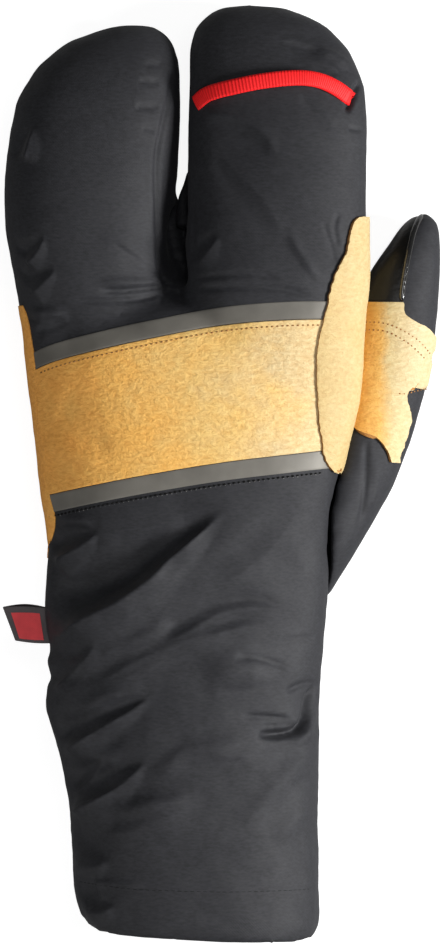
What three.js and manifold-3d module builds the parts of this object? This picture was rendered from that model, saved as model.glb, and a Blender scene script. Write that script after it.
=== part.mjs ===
// A left-hand split-finger winter cycling mitt, lying palm down on a flat surface.
// Its padded softshell has one compartment for the index and middle fingers, one for the ring and little
// fingers, and a thumb. It is hollow from the cuff's hem to every tip.
// Millimetres, +Z up. +Y runs from the hem to the fingertips and +X towards the thumb.
import * as THREE from "three";
import { mergeVertices } from "three/addons/utils/BufferGeometryUtils.js";
import Module from "manifold-3d";

const wasm = await Module();
wasm.setup();

// Overall sizes. The glove's long axis is x = 0, and the hem is y = 0.
const bodyLength = 230.3; // hem to the crotch between the two finger compartments
const cuffWidth = 86;
const cuffDepth = 56;
const handWidth = 127.4; // across both finger compartments at their roots
const handDepth = 46;
const fingerDepth = 40;
const littleSideLength = 91.7; // crotch to the tip of the ring and little fingers' compartment
const littleSideWidth = 62.3;
const indexSideLength = 98.4;
const indexSideWidth = 62.7;
const indexLift = 12; // how far the thumb beneath raises the index side
const webLength = 31; // how far the web between the two compartments reaches above the crotch
const webWidth = 12;
const thumbLength = 135.8; // from its root inside the palm
const thumbWidth = 36.4;
const thumbDepth = 28;
const thumbReach = 50.4; // how far the thumb leans out from its root to its tip

// Materials and seams.
const paddedWall = 3.5;
const leatherThickness = 1.2;
const tapeThickness = 0.9;
const tapeWidth = 6.4;
const webbingWidth = 6.2;
const webbingThickness = 1.1;
const labelThickness = 1.2;
const seamGap = 0.3; // between pieces that are sewn to each other

// Shape of the padded forms.
const backRoundness = 2.3; // 2 is an ellipse and more is squarer
const palmRoundness = 3;
const flattening = 1.5; // how far the soft underside is pressed flat
const hemRise = 9; // how much the hem climbs at the cuff's two sides
const hemCorner = 10; // a higher power holds the climb closer to the sides
const hemSlant = 4; // how much lower the hem is on the thumb side
const foldDepth = 4;
const foldWidth = 8;

// Rows from the hem up. at is a share of bodyLength. left, right and high are shares of cuffWidth and cuffDepth.
const cuffRows = [
  { at: 0, left: -0.485, right: 0.498, high: 1 },
  { at: 0.065, left: -0.497, right: 0.501, high: 1 },
  { at: 0.141, left: -0.505, right: 0.497, high: 0.985 },
  { at: 0.217, left: -0.521, right: 0.497, high: 0.97 },
  { at: 0.278, left: -0.549, right: 0.501, high: 0.96 },
  { at: 0.324, left: -0.584, right: 0.503, high: 0.955 },
  { at: 0.362, left: -0.615, right: 0.505, high: 0.95 },
  { at: 0.394, left: -0.606, right: 0.509, high: 0.94 },
  { at: 0.422, left: -0.588, right: 0.513, high: 0.93 },
  { at: 0.46, left: -0.596, right: 0.521, high: 0.92 },
];
// The same for the hand, as shares of handWidth and handDepth. low is the underside and lift a share of indexLift.
const handRows = [
  { at: 0.503, left: -0.419, right: 0.36, low: 0, high: 1.11, lift: 0.1 },
  { at: 0.552, left: -0.411, right: 0.363, low: -0.01, high: 1.1, lift: 0.25 },
  { at: 0.612, left: -0.407, right: 0.364, low: -0.02, high: 1.08, lift: 0.5 },
  { at: 0.673, left: -0.424, right: 0.376, low: -0.03, high: 1.07, lift: 0.75 },
  { at: 0.749, left: -0.44, right: 0.409, low: -0.04, high: 1.06, lift: 0.95 },
  { at: 0.825, left: -0.456, right: 0.442, low: -0.04, high: 1.06, lift: 1 },
  { at: 0.901, left: -0.47, right: 0.453, low: -0.03, high: 1.04, lift: 1 },
  { at: 0.947, left: -0.47, right: 0.451, low: 0, high: 0.97, lift: 1 },
  { at: 0.98, left: -0.44, right: 0.42, low: 0.1, high: 0.85, lift: 1 },
  { at: 1, left: -0.368, right: 0.363, low: 0.26, high: 0.66, lift: 1 },
];
// Each finger compartment from its root inside the hand to its tip. at is a share of its length from the crotch,
// left and right are shares of its width, and low and high are shares of fingerDepth.
const littleSideRows = [
  { at: -0.38, left: -0.36, right: 0.48, low: 0.03, high: 0.9, lift: 0 },
  { at: -0.21, left: -0.382, right: 0.485, low: -0.02, high: 0.98, lift: 0 },
  { at: 0, left: -0.43, right: 0.478, low: -0.03, high: 1.06, lift: 0 },
  { at: 0.134, left: -0.475, right: 0.461, low: -0.03, high: 1.07, lift: 0 },
  { at: 0.324, left: -0.5, right: 0.472, low: -0.03, high: 1.06, lift: 0 },
  { at: 0.515, left: -0.475, right: 0.494, low: -0.02, high: 1.01, lift: 0 },
  { at: 0.668, left: -0.441, right: 0.497, low: -0.01, high: 0.94, lift: 0 },
  { at: 0.767, left: -0.382, right: 0.5, low: 0, high: 0.86, lift: 0 },
  { at: 0.859, left: -0.275, right: 0.489, low: 0.02, high: 0.76, lift: 0 },
  { at: 0.92, left: -0.163, right: 0.461, low: 0.04, high: 0.67, lift: 0 },
  { at: 0.966, left: -0.006, right: 0.404, low: 0.08, high: 0.57, lift: 0 },
  { at: 0.985, left: 0.09, right: 0.36, low: 0.13, high: 0.49, lift: 0 },
  { at: 1, left: 0.236, right: 0.236, low: 0.3, high: 0.3, lift: 0 },
];
const indexSideRows = [
  { at: -0.356, left: -0.489, right: 0.44, low: 0, high: 0.88, lift: 1 },
  { at: -0.196, left: -0.5, right: 0.462, low: -0.02, high: 0.95, lift: 1 },
  { at: 0, left: -0.52, right: 0.497, low: 0, high: 1, lift: 1 },
  { at: 0.125, left: -0.508, right: 0.5, low: 0, high: 1, lift: 0.95 },
  { at: 0.302, left: -0.506, right: 0.492, low: 0, high: 0.97, lift: 0.8 },
  { at: 0.48, left: -0.503, right: 0.5, low: 0, high: 0.93, lift: 0.65 },
  { at: 0.623, left: -0.5, right: 0.503, low: 0, high: 0.88, lift: 0.52 },
  { at: 0.715, left: -0.494, right: 0.483, low: 0, high: 0.83, lift: 0.44 },
  { at: 0.801, left: -0.494, right: 0.436, low: 0, high: 0.76, lift: 0.4 },
  { at: 0.872, left: -0.483, right: 0.358, low: 0.02, high: 0.68, lift: 0.36 },
  { at: 0.929, left: -0.45, right: 0.26, low: 0.04, high: 0.59, lift: 0.34 },
  { at: 0.972, left: -0.372, right: 0.12, low: 0.09, high: 0.49, lift: 0.32 },
  { at: 0.986, left: -0.321, right: 0.042, low: 0.13, high: 0.43, lift: 0.31 },
  { at: 1, left: -0.154, right: -0.154, low: 0.28, high: 0.28, lift: 0.3 },
];
// The low web that joins the two compartments' inner walls, as shares of webLength, webWidth and fingerDepth.
const webRows = [
  { at: -0.6, left: -0.5, right: 0.5, low: 0.15, high: 0.8, lift: 0.4 },
  { at: 0, left: -0.5, right: 0.5, low: 0.15, high: 0.72, lift: 0.4 },
  { at: 0.6, left: -0.45, right: 0.45, low: 0.2, high: 0.55, lift: 0.35 },
  { at: 1, left: 0, right: 0, low: 0.3, high: 0.3, lift: 0.3 },
];
// The thumb from its root to its tip. at is a share of thumbLength, aside of thumbReach, width of thumbWidth,
// and low and high of thumbDepth.
const thumbRows = [
  { at: 0, aside: 0, width: 0.85, low: 0.12, high: 1.1 },
  { at: 0.103, aside: 0.125, width: 0.97, low: 0, high: 1.2 },
  { at: 0.216, aside: 0.312, width: 1, low: -0.05, high: 1.24 },
  { at: 0.34, aside: 0.465, width: 1, low: -0.05, high: 1.2 },
  { at: 0.464, aside: 0.597, width: 0.962, low: -0.05, high: 1.13 },
  { at: 0.588, aside: 0.701, width: 0.904, low: -0.05, high: 1.07 },
  { at: 0.68, aside: 0.764, width: 0.846, low: -0.05, high: 1.02 },
  { at: 0.773, aside: 0.812, width: 0.769, low: -0.04, high: 0.96 },
  { at: 0.835, aside: 0.851, width: 0.692, low: -0.03, high: 0.9 },
  { at: 0.897, aside: 0.91, width: 0.538, low: 0, high: 0.81 },
  { at: 0.928, aside: 0.935, width: 0.458, low: 0.03, high: 0.75 },
  { at: 0.959, aside: 0.962, width: 0.356, low: 0.06, high: 0.66 },
  { at: 0.99, aside: 0.99, width: 0.183, low: 0.18, high: 0.52 },
  { at: 1, aside: 1, width: 0, low: 0.36, high: 0.36 },
];

// Where the parts start. The axes of the compartments lie half a width in from the hand's edges.
const littleSideX = -0.286 * handWidth;
const indexSideX = 0.2235 * handWidth;
const webX = -0.041 * handWidth;
const thumbRootX = 0.236 * handWidth;
const thumbRootY = 0.521 * bodyLength;

// Folds pressed into the back. Ends are shares of handWidth and bodyLength, a positive depth is a ridge and a
// negative one a crease, both as shares of foldDepth, width is a share of foldWidth, and bow a share of length.
const folds = [
  { fromX: 0.1, fromY: 0.665, toX: -0.4, toY: 0.473, depth: -1.15, width: 0.85, bow: 0.06 },
  { fromX: 0.16, fromY: 0.655, toX: -0.32, toY: 0.412, depth: 0.8, width: 1.3, bow: 0.08 },
  { fromX: -0.25, fromY: 0.637, toX: -0.41, toY: 0.58, depth: -0.8, width: 0.8, bow: 0 },
  { fromX: -0.26, fromY: 0.615, toX: -0.4, toY: 0.512, depth: 0.5, width: 0.9, bow: 0 },
  { fromX: -0.06, fromY: 0.468, toX: 0.27, toY: 0.497, depth: 0.5, width: 0.8, bow: 0.1 },
  { fromX: -0.02, fromY: 0.5, toX: 0.23, toY: 0.515, depth: -0.45, width: 0.7, bow: 0.08 },
  { fromX: -0.39, fromY: 0.295, toX: -0.1, toY: 0.378, depth: -0.85, width: 0.85, bow: 0.05 },
  { fromX: -0.36, fromY: 0.262, toX: -0.1, toY: 0.325, depth: 0.55, width: 0.9, bow: 0.05 },
  { fromX: -0.36, fromY: 0.22, toX: -0.11, toY: 0.283, depth: -0.8, width: 0.85, bow: 0.05 },
  { fromX: -0.28, fromY: 0.18, toX: 0.03, toY: 0.23, depth: 0.5, width: 1, bow: 0.05 },
  { fromX: 0.35, fromY: 0.41, toX: 0.29, toY: 0.345, depth: -0.8, width: 0.6, bow: 0 },
  { fromX: 0.31, fromY: 0.347, toX: 0.13, toY: 0.322, depth: -0.7, width: 0.55, bow: -0.1 },
  { fromX: -0.42, fromY: 0.92, toX: -0.3, toY: 0.95, depth: -0.6, width: 0.7, bow: 0 },
  { fromX: -0.4, fromY: 0.979, toX: -0.08, toY: 0.985, depth: -0.35, width: 0.7, bow: 0 },
  { fromX: 0.2, fromY: 1.37, toX: 0.44, toY: 1.33, depth: -0.5, width: 0.6, bow: 0 },
  { fromX: -0.02, fromY: 1.258, toX: 0.24, toY: 1.205, depth: -0.4, width: 1, bow: 0 },
  { fromX: 0.03, fromY: 1.2, toX: 0.19, toY: 1.12, depth: -0.4, width: 1, bow: 0 },
];

// The palm leather. It reaches up to palmEdge, and in from the compartments' edges by underInset.
const palmEdge = 23;
const palmStart = 0.582; // its lower end, as a share of bodyLength
const palmEnd = 0.97;
const underInset = 9;
// Seams and outlines seen from above, as shares of handWidth and bodyLength. sideSeamPoints is where the palm
// leather that wraps over the little-finger side ends.
const sideSeamPoints = [
  [-0.412, 0.597], [-0.39, 0.62], [-0.385, 0.64], [-0.387, 0.655], [-0.401, 0.684], [-0.418, 0.725],
  [-0.429, 0.764], [-0.434, 0.825], [-0.438, 0.871], [-0.448, 0.912], [-0.464, 0.956], [-0.495, 0.988],
];
const bandTopPoints = [
  [-0.478, 0.859], [-0.393, 0.881], [-0.245, 0.902], [-0.099, 0.919], [0.071, 0.936], [0.25, 0.944],
  [0.409, 0.945],
];
const bandBottomPoints = [
  [-0.445, 0.676], [-0.288, 0.695], [-0.129, 0.712], [0.071, 0.73], [0.25, 0.742], [0.409, 0.752],
];
const indexLeatherPoints = [
  [0.467, 1.103], [0.44, 1.1], [0.42, 1.084], [0.404, 1.044], [0.371, 1.006], [0.357, 0.97],
  [0.335, 0.922], [0.327, 0.886], [0.328, 0.84], [0.335, 0.783], [0.348, 0.739], [0.363, 0.72],
  [0.382, 0.713], [0.409, 0.723], [0.434, 0.746], [0.456, 0.774], [0.484, 0.789], [0.516, 0.802],
  [0.55, 0.95], [0.516, 1.103],
];
const patchPoints = [
  [0.409, 0.964], [0.475, 0.97], [0.569, 0.973], [0.573, 0.954], [0.604, 0.942], [0.629, 0.935],
  [0.653, 0.919], [0.655, 0.909], [0.64, 0.891], [0.64, 0.869], [0.628, 0.847], [0.588, 0.843],
  [0.574, 0.828], [0.584, 0.801], [0.577, 0.78], [0.555, 0.742], [0.551, 0.73], [0.536, 0.73],
  [0.519, 0.749], [0.491, 0.768], [0.429, 0.787], [0.409, 0.856],
];
const thumbSeamPoints = [
  [0.643, 1.129], [0.632, 1.112], [0.615, 1.096], [0.602, 1.078], [0.591, 1.053], [0.58, 1.023],
  [0.571, 0.992], [0.569, 0.974],
];
const labelPoints = [[-0.53, 0.511], [-0.4, 0.509], [-0.39, 0.456], [-0.495, 0.46]];
const labelHeight = 26;
// The webbing's line over the index side, as shares of the compartment's width and length.
const loopPoints = [
  [-0.45, 0.64], [-0.377, 0.676], [-0.209, 0.712], [-0.042, 0.728], [0.115, 0.735], [0.226, 0.726],
  [0.321, 0.699], [0.422, 0.658],
];
const loopArch = 1.4; // how far its middle stands off the back
// The thumb leaves the hand here; above it they lie side by side.
const thumbCrotch = 0.78 * bodyLength;
// The wrist seam crosses the axis at this share of bodyLength.
const wristSeam = 0.71;
const wristSeamAngle = THREE.MathUtils.degToRad(8.7);

const hemExtension = 20; // the cavity's end runs past the hem, so that the cuff is open

// How finely each form is faceted.
const outerDetail = {
  bodySteps: 25,
  fingerSteps: 10,
  webSteps: 3,
  thumbSteps: 11,
  backSides: 16,
  palmSides: 7,
  folded: true,
};
const innerDetail = {
  bodySteps: 11,
  fingerSteps: 7,
  webSteps: 0,
  thumbSteps: 7,
  backSides: 10,
  palmSides: 5,
  folded: false,
};

// A value of a named column between the rows, on a smooth curve through them.
function column(rows, name, at) {
  let i = 0;
  while (i < rows.length - 2 && at > rows[i + 1].at) i++;
  const slope = (a, b) => (rows[b][name] - rows[a][name]) / (rows[b].at - rows[a].at);
  const middleSlope = (k) => slope(Math.max(k - 1, 0), Math.min(k + 1, rows.length - 1));
  const step = rows[i + 1].at - rows[i].at;
  const t = (at - rows[i].at) / step;
  return (
    (2 * t ** 3 - 3 * t ** 2 + 1) * rows[i][name] +
    (t ** 3 - 2 * t ** 2 + t) * step * middleSlope(i) +
    (3 * t ** 2 - 2 * t ** 3) * rows[i + 1][name] +
    (t ** 3 - t ** 2) * step * middleSlope(i + 1)
  );
}

const smooth = THREE.MathUtils.smoothstep;
const roundPower = (value, roundness) => Math.sign(value) * Math.abs(value) ** (2 / roundness);

// The rows of the cuff and hand in millimetres.
function bodyRows() {
  return [
    ...cuffRows.map((row) => ({
      at: row.at,
      left: row.left * cuffWidth,
      right: row.right * cuffWidth,
      low: 0,
      high: row.high * cuffDepth,
      lift: 0,
    })),
    ...handRows.map((row) => ({
      at: row.at,
      left: row.left * handWidth,
      right: row.right * handWidth,
      low: row.low * handDepth,
      high: row.high * handDepth,
      lift: row.lift * indexLift,
    })),
  ];
}

// Cross-sections of the cuff and hand, from the hem or from extension below it, up to the crotch.
function bodySections(steps, extension) {
  const rows = bodyRows();
  const sections = [];
  for (let i = 0; i <= steps; i++) {
    const at = i / steps;
    const value = (name) => column(rows, name, at);
    sections.push({
      y: at * bodyLength,
      left: value("left"),
      right: value("right"),
      low: value("low") - flattening,
      high: value("high"),
      lift: value("lift"),
      hem: (1 - smooth(at, 0, 0.14)) * (extension ? 0 : 1),
    });
  }
  if (extension) sections.unshift({ ...sections[0], y: -extension });
  return sections;
}

// The station of a row on a path that slows down towards the tip, so that the dome's rings crowd there.
const stationOf = (at) => (at < 0 ? at / (Math.PI / 2) : Math.asin(at) / (Math.PI / 2));
const atStation = (station) =>
  station < 0 ? (station * Math.PI) / 2 : Math.sin((station * Math.PI) / 2);

// Cross-sections of a closed-ended tube whose rows are given in millimetres.
function domedSections(rows, length, rootY, steps) {
  const stationed = rows.map((row) => ({ ...row, at: stationOf(row.at) }));
  const root = stationed[0].at;
  const sections = [];
  for (let i = 0; i <= steps; i++) {
    const station = root + ((1 - root) * i) / steps;
    const value = (name) => column(stationed, name, station);
    sections.push({
      y: rootY + atStation(station) * length,
      left: value("left"),
      right: value("right"),
      low: value("low"),
      high: value("high"),
      lift: value("lift"),
      hem: 0,
    });
  }
  return sections;
}

// A compartment's rows in millimetres, with the lift of the index side added to their heights.
function fingerRows(rows, axisX, width) {
  return rows.map((row) => ({
    at: row.at,
    left: axisX + row.left * width,
    right: axisX + row.right * width,
    low: row.low * fingerDepth + row.lift * indexLift,
    high: row.high * fingerDepth + row.lift * indexLift,
    lift: 0,
  }));
}

const littleSideSections = (steps) =>
  domedSections(
    fingerRows(littleSideRows, littleSideX, littleSideWidth),
    littleSideLength,
    bodyLength,
    steps,
  );
const indexSideSections = (steps) =>
  domedSections(
    fingerRows(indexSideRows, indexSideX, indexSideWidth),
    indexSideLength,
    bodyLength,
    steps,
  );

const webSections = (steps) =>
  domedSections(fingerRows(webRows, webX, webWidth), webLength, bodyLength, steps);

// The height of the index side's back at a place seen from above.
function indexSideHeight(x, y) {
  const rows = fingerRows(indexSideRows, indexSideX, indexSideWidth);
  const at = (y - bodyLength) / indexSideLength;
  const value = (name) => column(rows, name, at);
  const halfWidth = (value("right") - value("left")) / 2;
  const across = Math.abs(x - (value("left") + value("right")) / 2) / halfWidth;
  const cosine = Math.min(1, across) ** (backRoundness / 2);
  const up = Math.sqrt(1 - cosine ** 2) ** (2 / backRoundness);
  return (value("high") + value("low")) / 2 + (up * (value("high") - value("low"))) / 2;
}

// The direction that the index side's back faces there.
function indexSideFacing(x, y) {
  const reach = webbingWidth / 2;
  const slope = (acrossX, alongY) =>
    (indexSideHeight(x - acrossX, y - alongY) - indexSideHeight(x + acrossX, y + alongY)) /
    (2 * reach);
  return new THREE.Vector3(slope(reach, 0), slope(0, reach), 1).normalize();
}

function thumbSections(steps) {
  const sized = thumbRows.map((row) => ({
    at: row.at,
    left: thumbRootX + row.aside * thumbReach - (row.width * thumbWidth) / 2,
    right: thumbRootX + row.aside * thumbReach + (row.width * thumbWidth) / 2,
    low: row.low * thumbDepth,
    high: row.high * thumbDepth,
    lift: 0,
  }));
  return domedSections(sized, thumbLength, thumbRootY, steps);
}

// A point on a cross-section. turn runs from the thumb side over the back and round under the palm.
function sectionPoint(section, turn) {
  const roundness = turn <= Math.PI ? backRoundness : palmRoundness;
  const across = roundPower(Math.cos(turn), backRoundness);
  const up = roundPower(Math.sin(turn), roundness);
  const middleX = (section.left + section.right) / 2;
  const halfWidth = (section.right - section.left) / 2;
  const high = section.high + 0.4 * across * section.lift;
  const low = section.low + (0.5 + 0.5 * across) * section.lift;
  const hemShift = hemRise * Math.abs(across) ** hemCorner - (hemSlant * across) / 2;
  return new THREE.Vector3(
    middleX + halfWidth * across,
    section.y + section.hem * hemShift,
    Math.max(0, (high + low) / 2 + (up * (high - low)) / 2),
  );
}

// The height that the folds add to the back, or take from it, at a place seen from above.
function foldLift(x, y) {
  let lift = 0;
  for (const fold of folds) {
    const startX = fold.fromX * handWidth;
    const startY = fold.fromY * bodyLength;
    const alongX = fold.toX * handWidth - startX;
    const alongY = fold.toY * bodyLength - startY;
    const length = Math.hypot(alongX, alongY);
    const along = ((x - startX) * alongX + (y - startY) * alongY) / length ** 2;
    if (along <= 0 || along >= 1) continue;
    const aside = ((x - startX) * alongY - (y - startY) * alongX) / length;
    const bowed = aside - fold.bow * length * 4 * along * (1 - along);
    const spread = bowed / (fold.width * foldWidth);
    lift += fold.depth * foldDepth * Math.sin(Math.PI * along) * Math.exp(-spread * spread);
  }
  return lift;
}

function solidOf(geometry) {
  const bare = geometry.index ? geometry.toNonIndexed() : geometry.clone();
  bare.deleteAttribute("normal");
  bare.deleteAttribute("uv");
  const merged = mergeVertices(bare, 1e-3);
  return new wasm.Manifold(
    new wasm.Mesh({
      numProp: 3,
      vertProperties: merged.attributes.position.array,
      triVerts: new Uint32Array(merged.index.array),
    }),
  );
}

// Joins rings of points into a closed geometry with a fan at each end.
function ringGeometry(rings) {
  const sides = rings[0].length;
  const points = rings.flat();
  const faces = [];
  for (let i = 0; i + 1 < rings.length; i++)
    for (let k = 0; k < sides; k++) {
      const a = i * sides + k;
      const b = i * sides + ((k + 1) % sides);
      faces.push(a, b + sides, b, a, a + sides, b + sides);
    }
  const middle = (ring) =>
    ring.reduce((sum, point) => sum.add(point), new THREE.Vector3()).divideScalar(sides);
  const last = (rings.length - 1) * sides;
  points.push(middle(rings[0]), middle(rings[rings.length - 1]));
  for (let k = 0; k < sides; k++) {
    const next = (k + 1) % sides;
    faces.push(points.length - 2, k, next);
    faces.push(points.length - 1, last + next, last + k);
  }
  return new THREE.BufferGeometry().setFromPoints(points).setIndex(faces);
}

// A padded form swollen by offset, or shrunk by it, with its underside kept flat.
function paddedSolid(sections, detail, offset) {
  const closedTip = sections.at(-1).right - sections.at(-1).left < 1e-6;
  const rings = (closedTip ? sections.slice(0, -1) : sections).map((section) => {
    const ring = [];
    for (let k = 0; k < detail.backSides; k++)
      ring.push(sectionPoint(section, (Math.PI * k) / detail.backSides));
    for (let k = 0; k < detail.palmSides; k++)
      ring.push(sectionPoint(section, Math.PI * (1 + k / detail.palmSides)));
    return ring;
  });
  const geometry = ringGeometry(rings);
  const position = geometry.attributes.position;
  if (closedTip) {
    const tip = sectionPoint(sections.at(-1), 0);
    position.setXYZ(position.count - 1, tip.x, tip.y, tip.z);
  }
  geometry.computeVertexNormals();
  const normal = geometry.attributes.normal;
  const point = new THREE.Vector3();
  const outward = new THREE.Vector3();
  for (let i = 0; i < position.count; i++) {
    point.fromBufferAttribute(position, i);
    outward.fromBufferAttribute(normal, i);
    const lift = detail.folded ? foldLift(point.x, point.y) * smooth(outward.z, 0, 0.5) : 0;
    point.addScaledVector(outward, offset + lift);
    position.setXYZ(i, point.x, point.y, Math.max(-offset, point.z));
  }
  return solidOf(geometry);
}

// The outer form, or the cavity, of the hand with its two finger compartments.
function handForm(detail, offset, extension = 0) {
  const form = paddedSolid(bodySections(detail.bodySteps, extension), detail, offset)
    .add(paddedSolid(littleSideSections(detail.fingerSteps), detail, offset))
    .add(paddedSolid(indexSideSections(detail.fingerSteps), detail, offset));
  return detail.webSteps ? form.add(paddedSolid(webSections(detail.webSteps), detail, offset)) : form;
}

const thumbForm = (detail, offset) =>
  paddedSolid(thumbSections(detail.thumbSteps), detail, offset);

// A flat outline, seen from above, raised into a solid between two heights. grow widens it all round.
function standing(outline, grow = 0, low = -2, high = 2 * handDepth) {
  const next = (k) => outline[(k + 1) % outline.length];
  const before = (k) => outline[(k + outline.length - 1) % outline.length];
  const clockwise = THREE.ShapeUtils.isClockWise(outline) ? 1 : -1;
  const grown = outline.map((point, k) => {
    const along = new THREE.Vector2().subVectors(next(k), before(k)).normalize();
    return new THREE.Vector2(
      point.x - along.y * grow * clockwise,
      point.y + along.x * grow * clockwise,
    );
  });
  const raised = new THREE.ExtrudeGeometry(new THREE.Shape(grown), {
    depth: high - low,
    bevelEnabled: false,
  });
  return solidOf(raised.translate(0, 0, low));
}

const handPoint = ([x, y]) => new THREE.Vector2(x * handWidth, y * bodyLength);
const curveThrough = (points, steps) => new THREE.SplineCurve(points).getPoints(steps);

// The hand's silhouette on its left or right edge, moved out by margin.
function bodyEdge(name, margin) {
  const steps = 12;
  const rows = bodyRows();
  const points = [];
  for (let i = 0; i <= steps; i++) {
    const at = palmStart + ((palmEnd - palmStart) * i) / steps;
    points.push(new THREE.Vector2(column(rows, name, at) + margin, at * bodyLength));
  }
  return points;
}

// A finger compartment's underside, in from its edges by underInset.
function undersideOutline(sections) {
  const shown = sections.filter((section) => section.y > 0.9 * bodyLength);
  const wide = shown.filter((section) => section.right - section.left > 2.4 * underInset);
  const highest = sections.at(-1).y - underInset;
  const edge = (name, inset) =>
    wide.map((section) => new THREE.Vector2(section[name] + inset, Math.min(section.y, highest)));
  return [...edge("left", underInset), ...edge("right", -underInset).reverse()];
}

// The strip of palm leather that wraps over the little-finger side as far as the side seam.
function sideWrapRegion(grow) {
  const seam = curveThrough(sideSeamPoints.map(handPoint), 20);
  const far = -handWidth;
  const outline = [
    new THREE.Vector2(far, seam[0].y),
    ...seam,
    new THREE.Vector2(far, seam.at(-1).y),
  ];
  return standing(outline, grow);
}

// The whole region of the palm leather: the underside below palmEdge, and the side wrap.
function palmRegion(grow) {
  const under = (outline) => standing(outline, grow, -2, palmEdge + grow);
  const margin = 3;
  return under([...bodyEdge("left", -margin), ...bodyEdge("right", margin).reverse()])
    .add(under(undersideOutline(littleSideSections(outerDetail.fingerSteps))))
    .add(under(undersideOutline(indexSideSections(outerDetail.fingerSteps))))
    .add(sideWrapRegion(grow));
}

// A band across the back between two curves, the upper and the lower one, from the side seam to under the
// leather over the index side.
function bandRegion(upper, lower, grow) {
  const outline = [...curveThrough(upper, 16), ...curveThrough(lower, 16).reverse()];
  return standing(outline, grow, palmEdge).subtract(sideWrapRegion(seamGap - grow));
}

const shifted = (points, rise) =>
  points.map((point) => new THREE.Vector2(point.x, point.y + rise));

// A panel let into a form, flush with its surface, and the recess that it is sewn into.
function inlay(form, region, thickness) {
  const panel = form(0).subtract(form(-thickness)).intersect(region(0));
  const recess = region(seamGap).subtract(form(-thickness - seamGap));
  return { panel, recess: recess.add(panel) };
}

// A piece of leather sewn on top of a form.
const overlay = (form, region) =>
  form(seamGap + leatherThickness).subtract(form(seamGap)).intersect(region);

const handAt = (offset) => handForm(outerDetail, offset);
const thumbAt = (offset) => thumbForm(outerDetail, offset);
const cavity = handForm(innerDetail, -paddedWall, hemExtension);
const aboveCrotch = standing([
  new THREE.Vector2(-handWidth, thumbCrotch),
  new THREE.Vector2(handWidth, thumbCrotch),
  new THREE.Vector2(handWidth, 2 * bodyLength),
  new THREE.Vector2(-handWidth, 2 * bodyLength),
]);
const thumbCavity = thumbForm(innerDetail, -paddedWall).subtract(
  handAt(paddedWall + seamGap).intersect(aboveCrotch),
);

// The knuckle band of leather with a strip of reflective tape above and below it.
const bandTop = bandTopPoints.map(handPoint);
const bandBottom = bandBottomPoints.map(handPoint);
const knuckleBand = inlay(
  handAt,
  (grow) => bandRegion(shifted(bandTop, -seamGap), shifted(bandBottom, seamGap), grow),
  leatherThickness,
);
const upperTape = inlay(
  handAt,
  (grow) => bandRegion(shifted(bandTop, tapeWidth), bandTop, grow),
  tapeThickness,
);
const lowerTape = inlay(
  handAt,
  (grow) => bandRegion(bandBottom, shifted(bandBottom, -tapeWidth), grow),
  tapeThickness,
);
const palm = inlay(handAt, palmRegion, leatherThickness);

// The leather that wraps over the index side, and the patch on the thumb.
const indexLeather = overlay(
  handAt,
  standing(curveThrough(indexLeatherPoints.map(handPoint), 40), 0, palmEdge - 3),
).subtract(thumbAt(seamGap));
const thumbPatch = overlay(
  thumbAt,
  standing(curveThrough(patchPoints.map(handPoint), 44), 0, thumbDepth / 3),
).subtract(handAt(2 * seamGap + leatherThickness));

// The smooth black leather on the side of the thumb that faces the hand.
const thumbSeam = curveThrough(thumbSeamPoints.map(handPoint), 14);
const thumbInlay = inlay(
  thumbAt,
  (grow) => {
    const far = thumbRootX - thumbWidth;
    const outline = [
      ...thumbSeam,
      new THREE.Vector2(far, thumbSeam.at(-1).y),
      new THREE.Vector2(far, thumbSeam[0].y),
    ];
    return standing(outline, grow, thumbDepth / 6);
  },
  leatherThickness,
);

// The red webbing across the back of the index side. Its ends lie on the fabric and its middle stands off.
function webbingLoop() {
  const back = loopPoints.map(([across, along], k) => {
    const x = indexSideX + across * indexSideWidth;
    const y = bodyLength + along * indexSideLength;
    const arch = loopArch * Math.sin((Math.PI * k) / (loopPoints.length - 1));
    const place = new THREE.Vector3(x, y, indexSideHeight(x, y));
    return place.addScaledVector(indexSideFacing(x, y), seamGap + webbingThickness / 2 + arch);
  });
  const path = new THREE.CatmullRomCurve3(back);
  const steps = 22;
  const rings = [];
  for (let i = 0; i <= steps; i++) {
    const centre = path.getPoint(i / steps);
    const along = path.getTangent(i / steps);
    const facing = indexSideFacing(centre.x, centre.y);
    const aside = new THREE.Vector3().crossVectors(facing, along).normalize();
    const outward = new THREE.Vector3().crossVectors(along, aside);
    const corner = (a, b) =>
      centre
        .clone()
        .addScaledVector(aside, (a * webbingWidth) / 2)
        .addScaledVector(outward, (b * webbingThickness) / 2);
    rings.push([corner(1, -1), corner(-1, -1), corner(-1, 1), corner(1, 1)]);
  }
  return solidOf(ringGeometry(rings)).subtract(handAt(seamGap));
}

// The folded woven tab that is caught in the little-finger side's seam.
const label = standing(
  labelPoints.map(handPoint),
  0,
  labelHeight,
  labelHeight + labelThickness,
).subtract(handAt(seamGap));

// The wrist seam, under the lower tape, parts the cuff from the hand.
function belowWristSeam(gap) {
  const size = 4 * bodyLength;
  const block = new THREE.BoxGeometry(size, size, size);
  block.translate(0, -size / 2 - gap / 2, 0);
  block.rotateZ(wristSeamAngle);
  block.translate(0, wristSeam * bodyLength, 0);
  return solidOf(block);
}

const softshell = handAt(0)
  .subtract(cavity)
  .subtract(thumbCavity)
  .subtract(knuckleBand.recess)
  .subtract(upperTape.recess)
  .subtract(lowerTape.recess)
  .subtract(palm.recess);
const thumbShell = thumbAt(0)
  .subtract(thumbCavity)
  .subtract(handAt(seamGap))
  .subtract(thumbInlay.recess);

const glove = new THREE.Group();

// Where curved faces nearly meet, a cut leaves crumbs; a piece is its largest body alone.
const largestBody = (solid) =>
  solid.decompose().reduce((best, body) => (body.volume() > best.volume() ? body : best));

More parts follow.
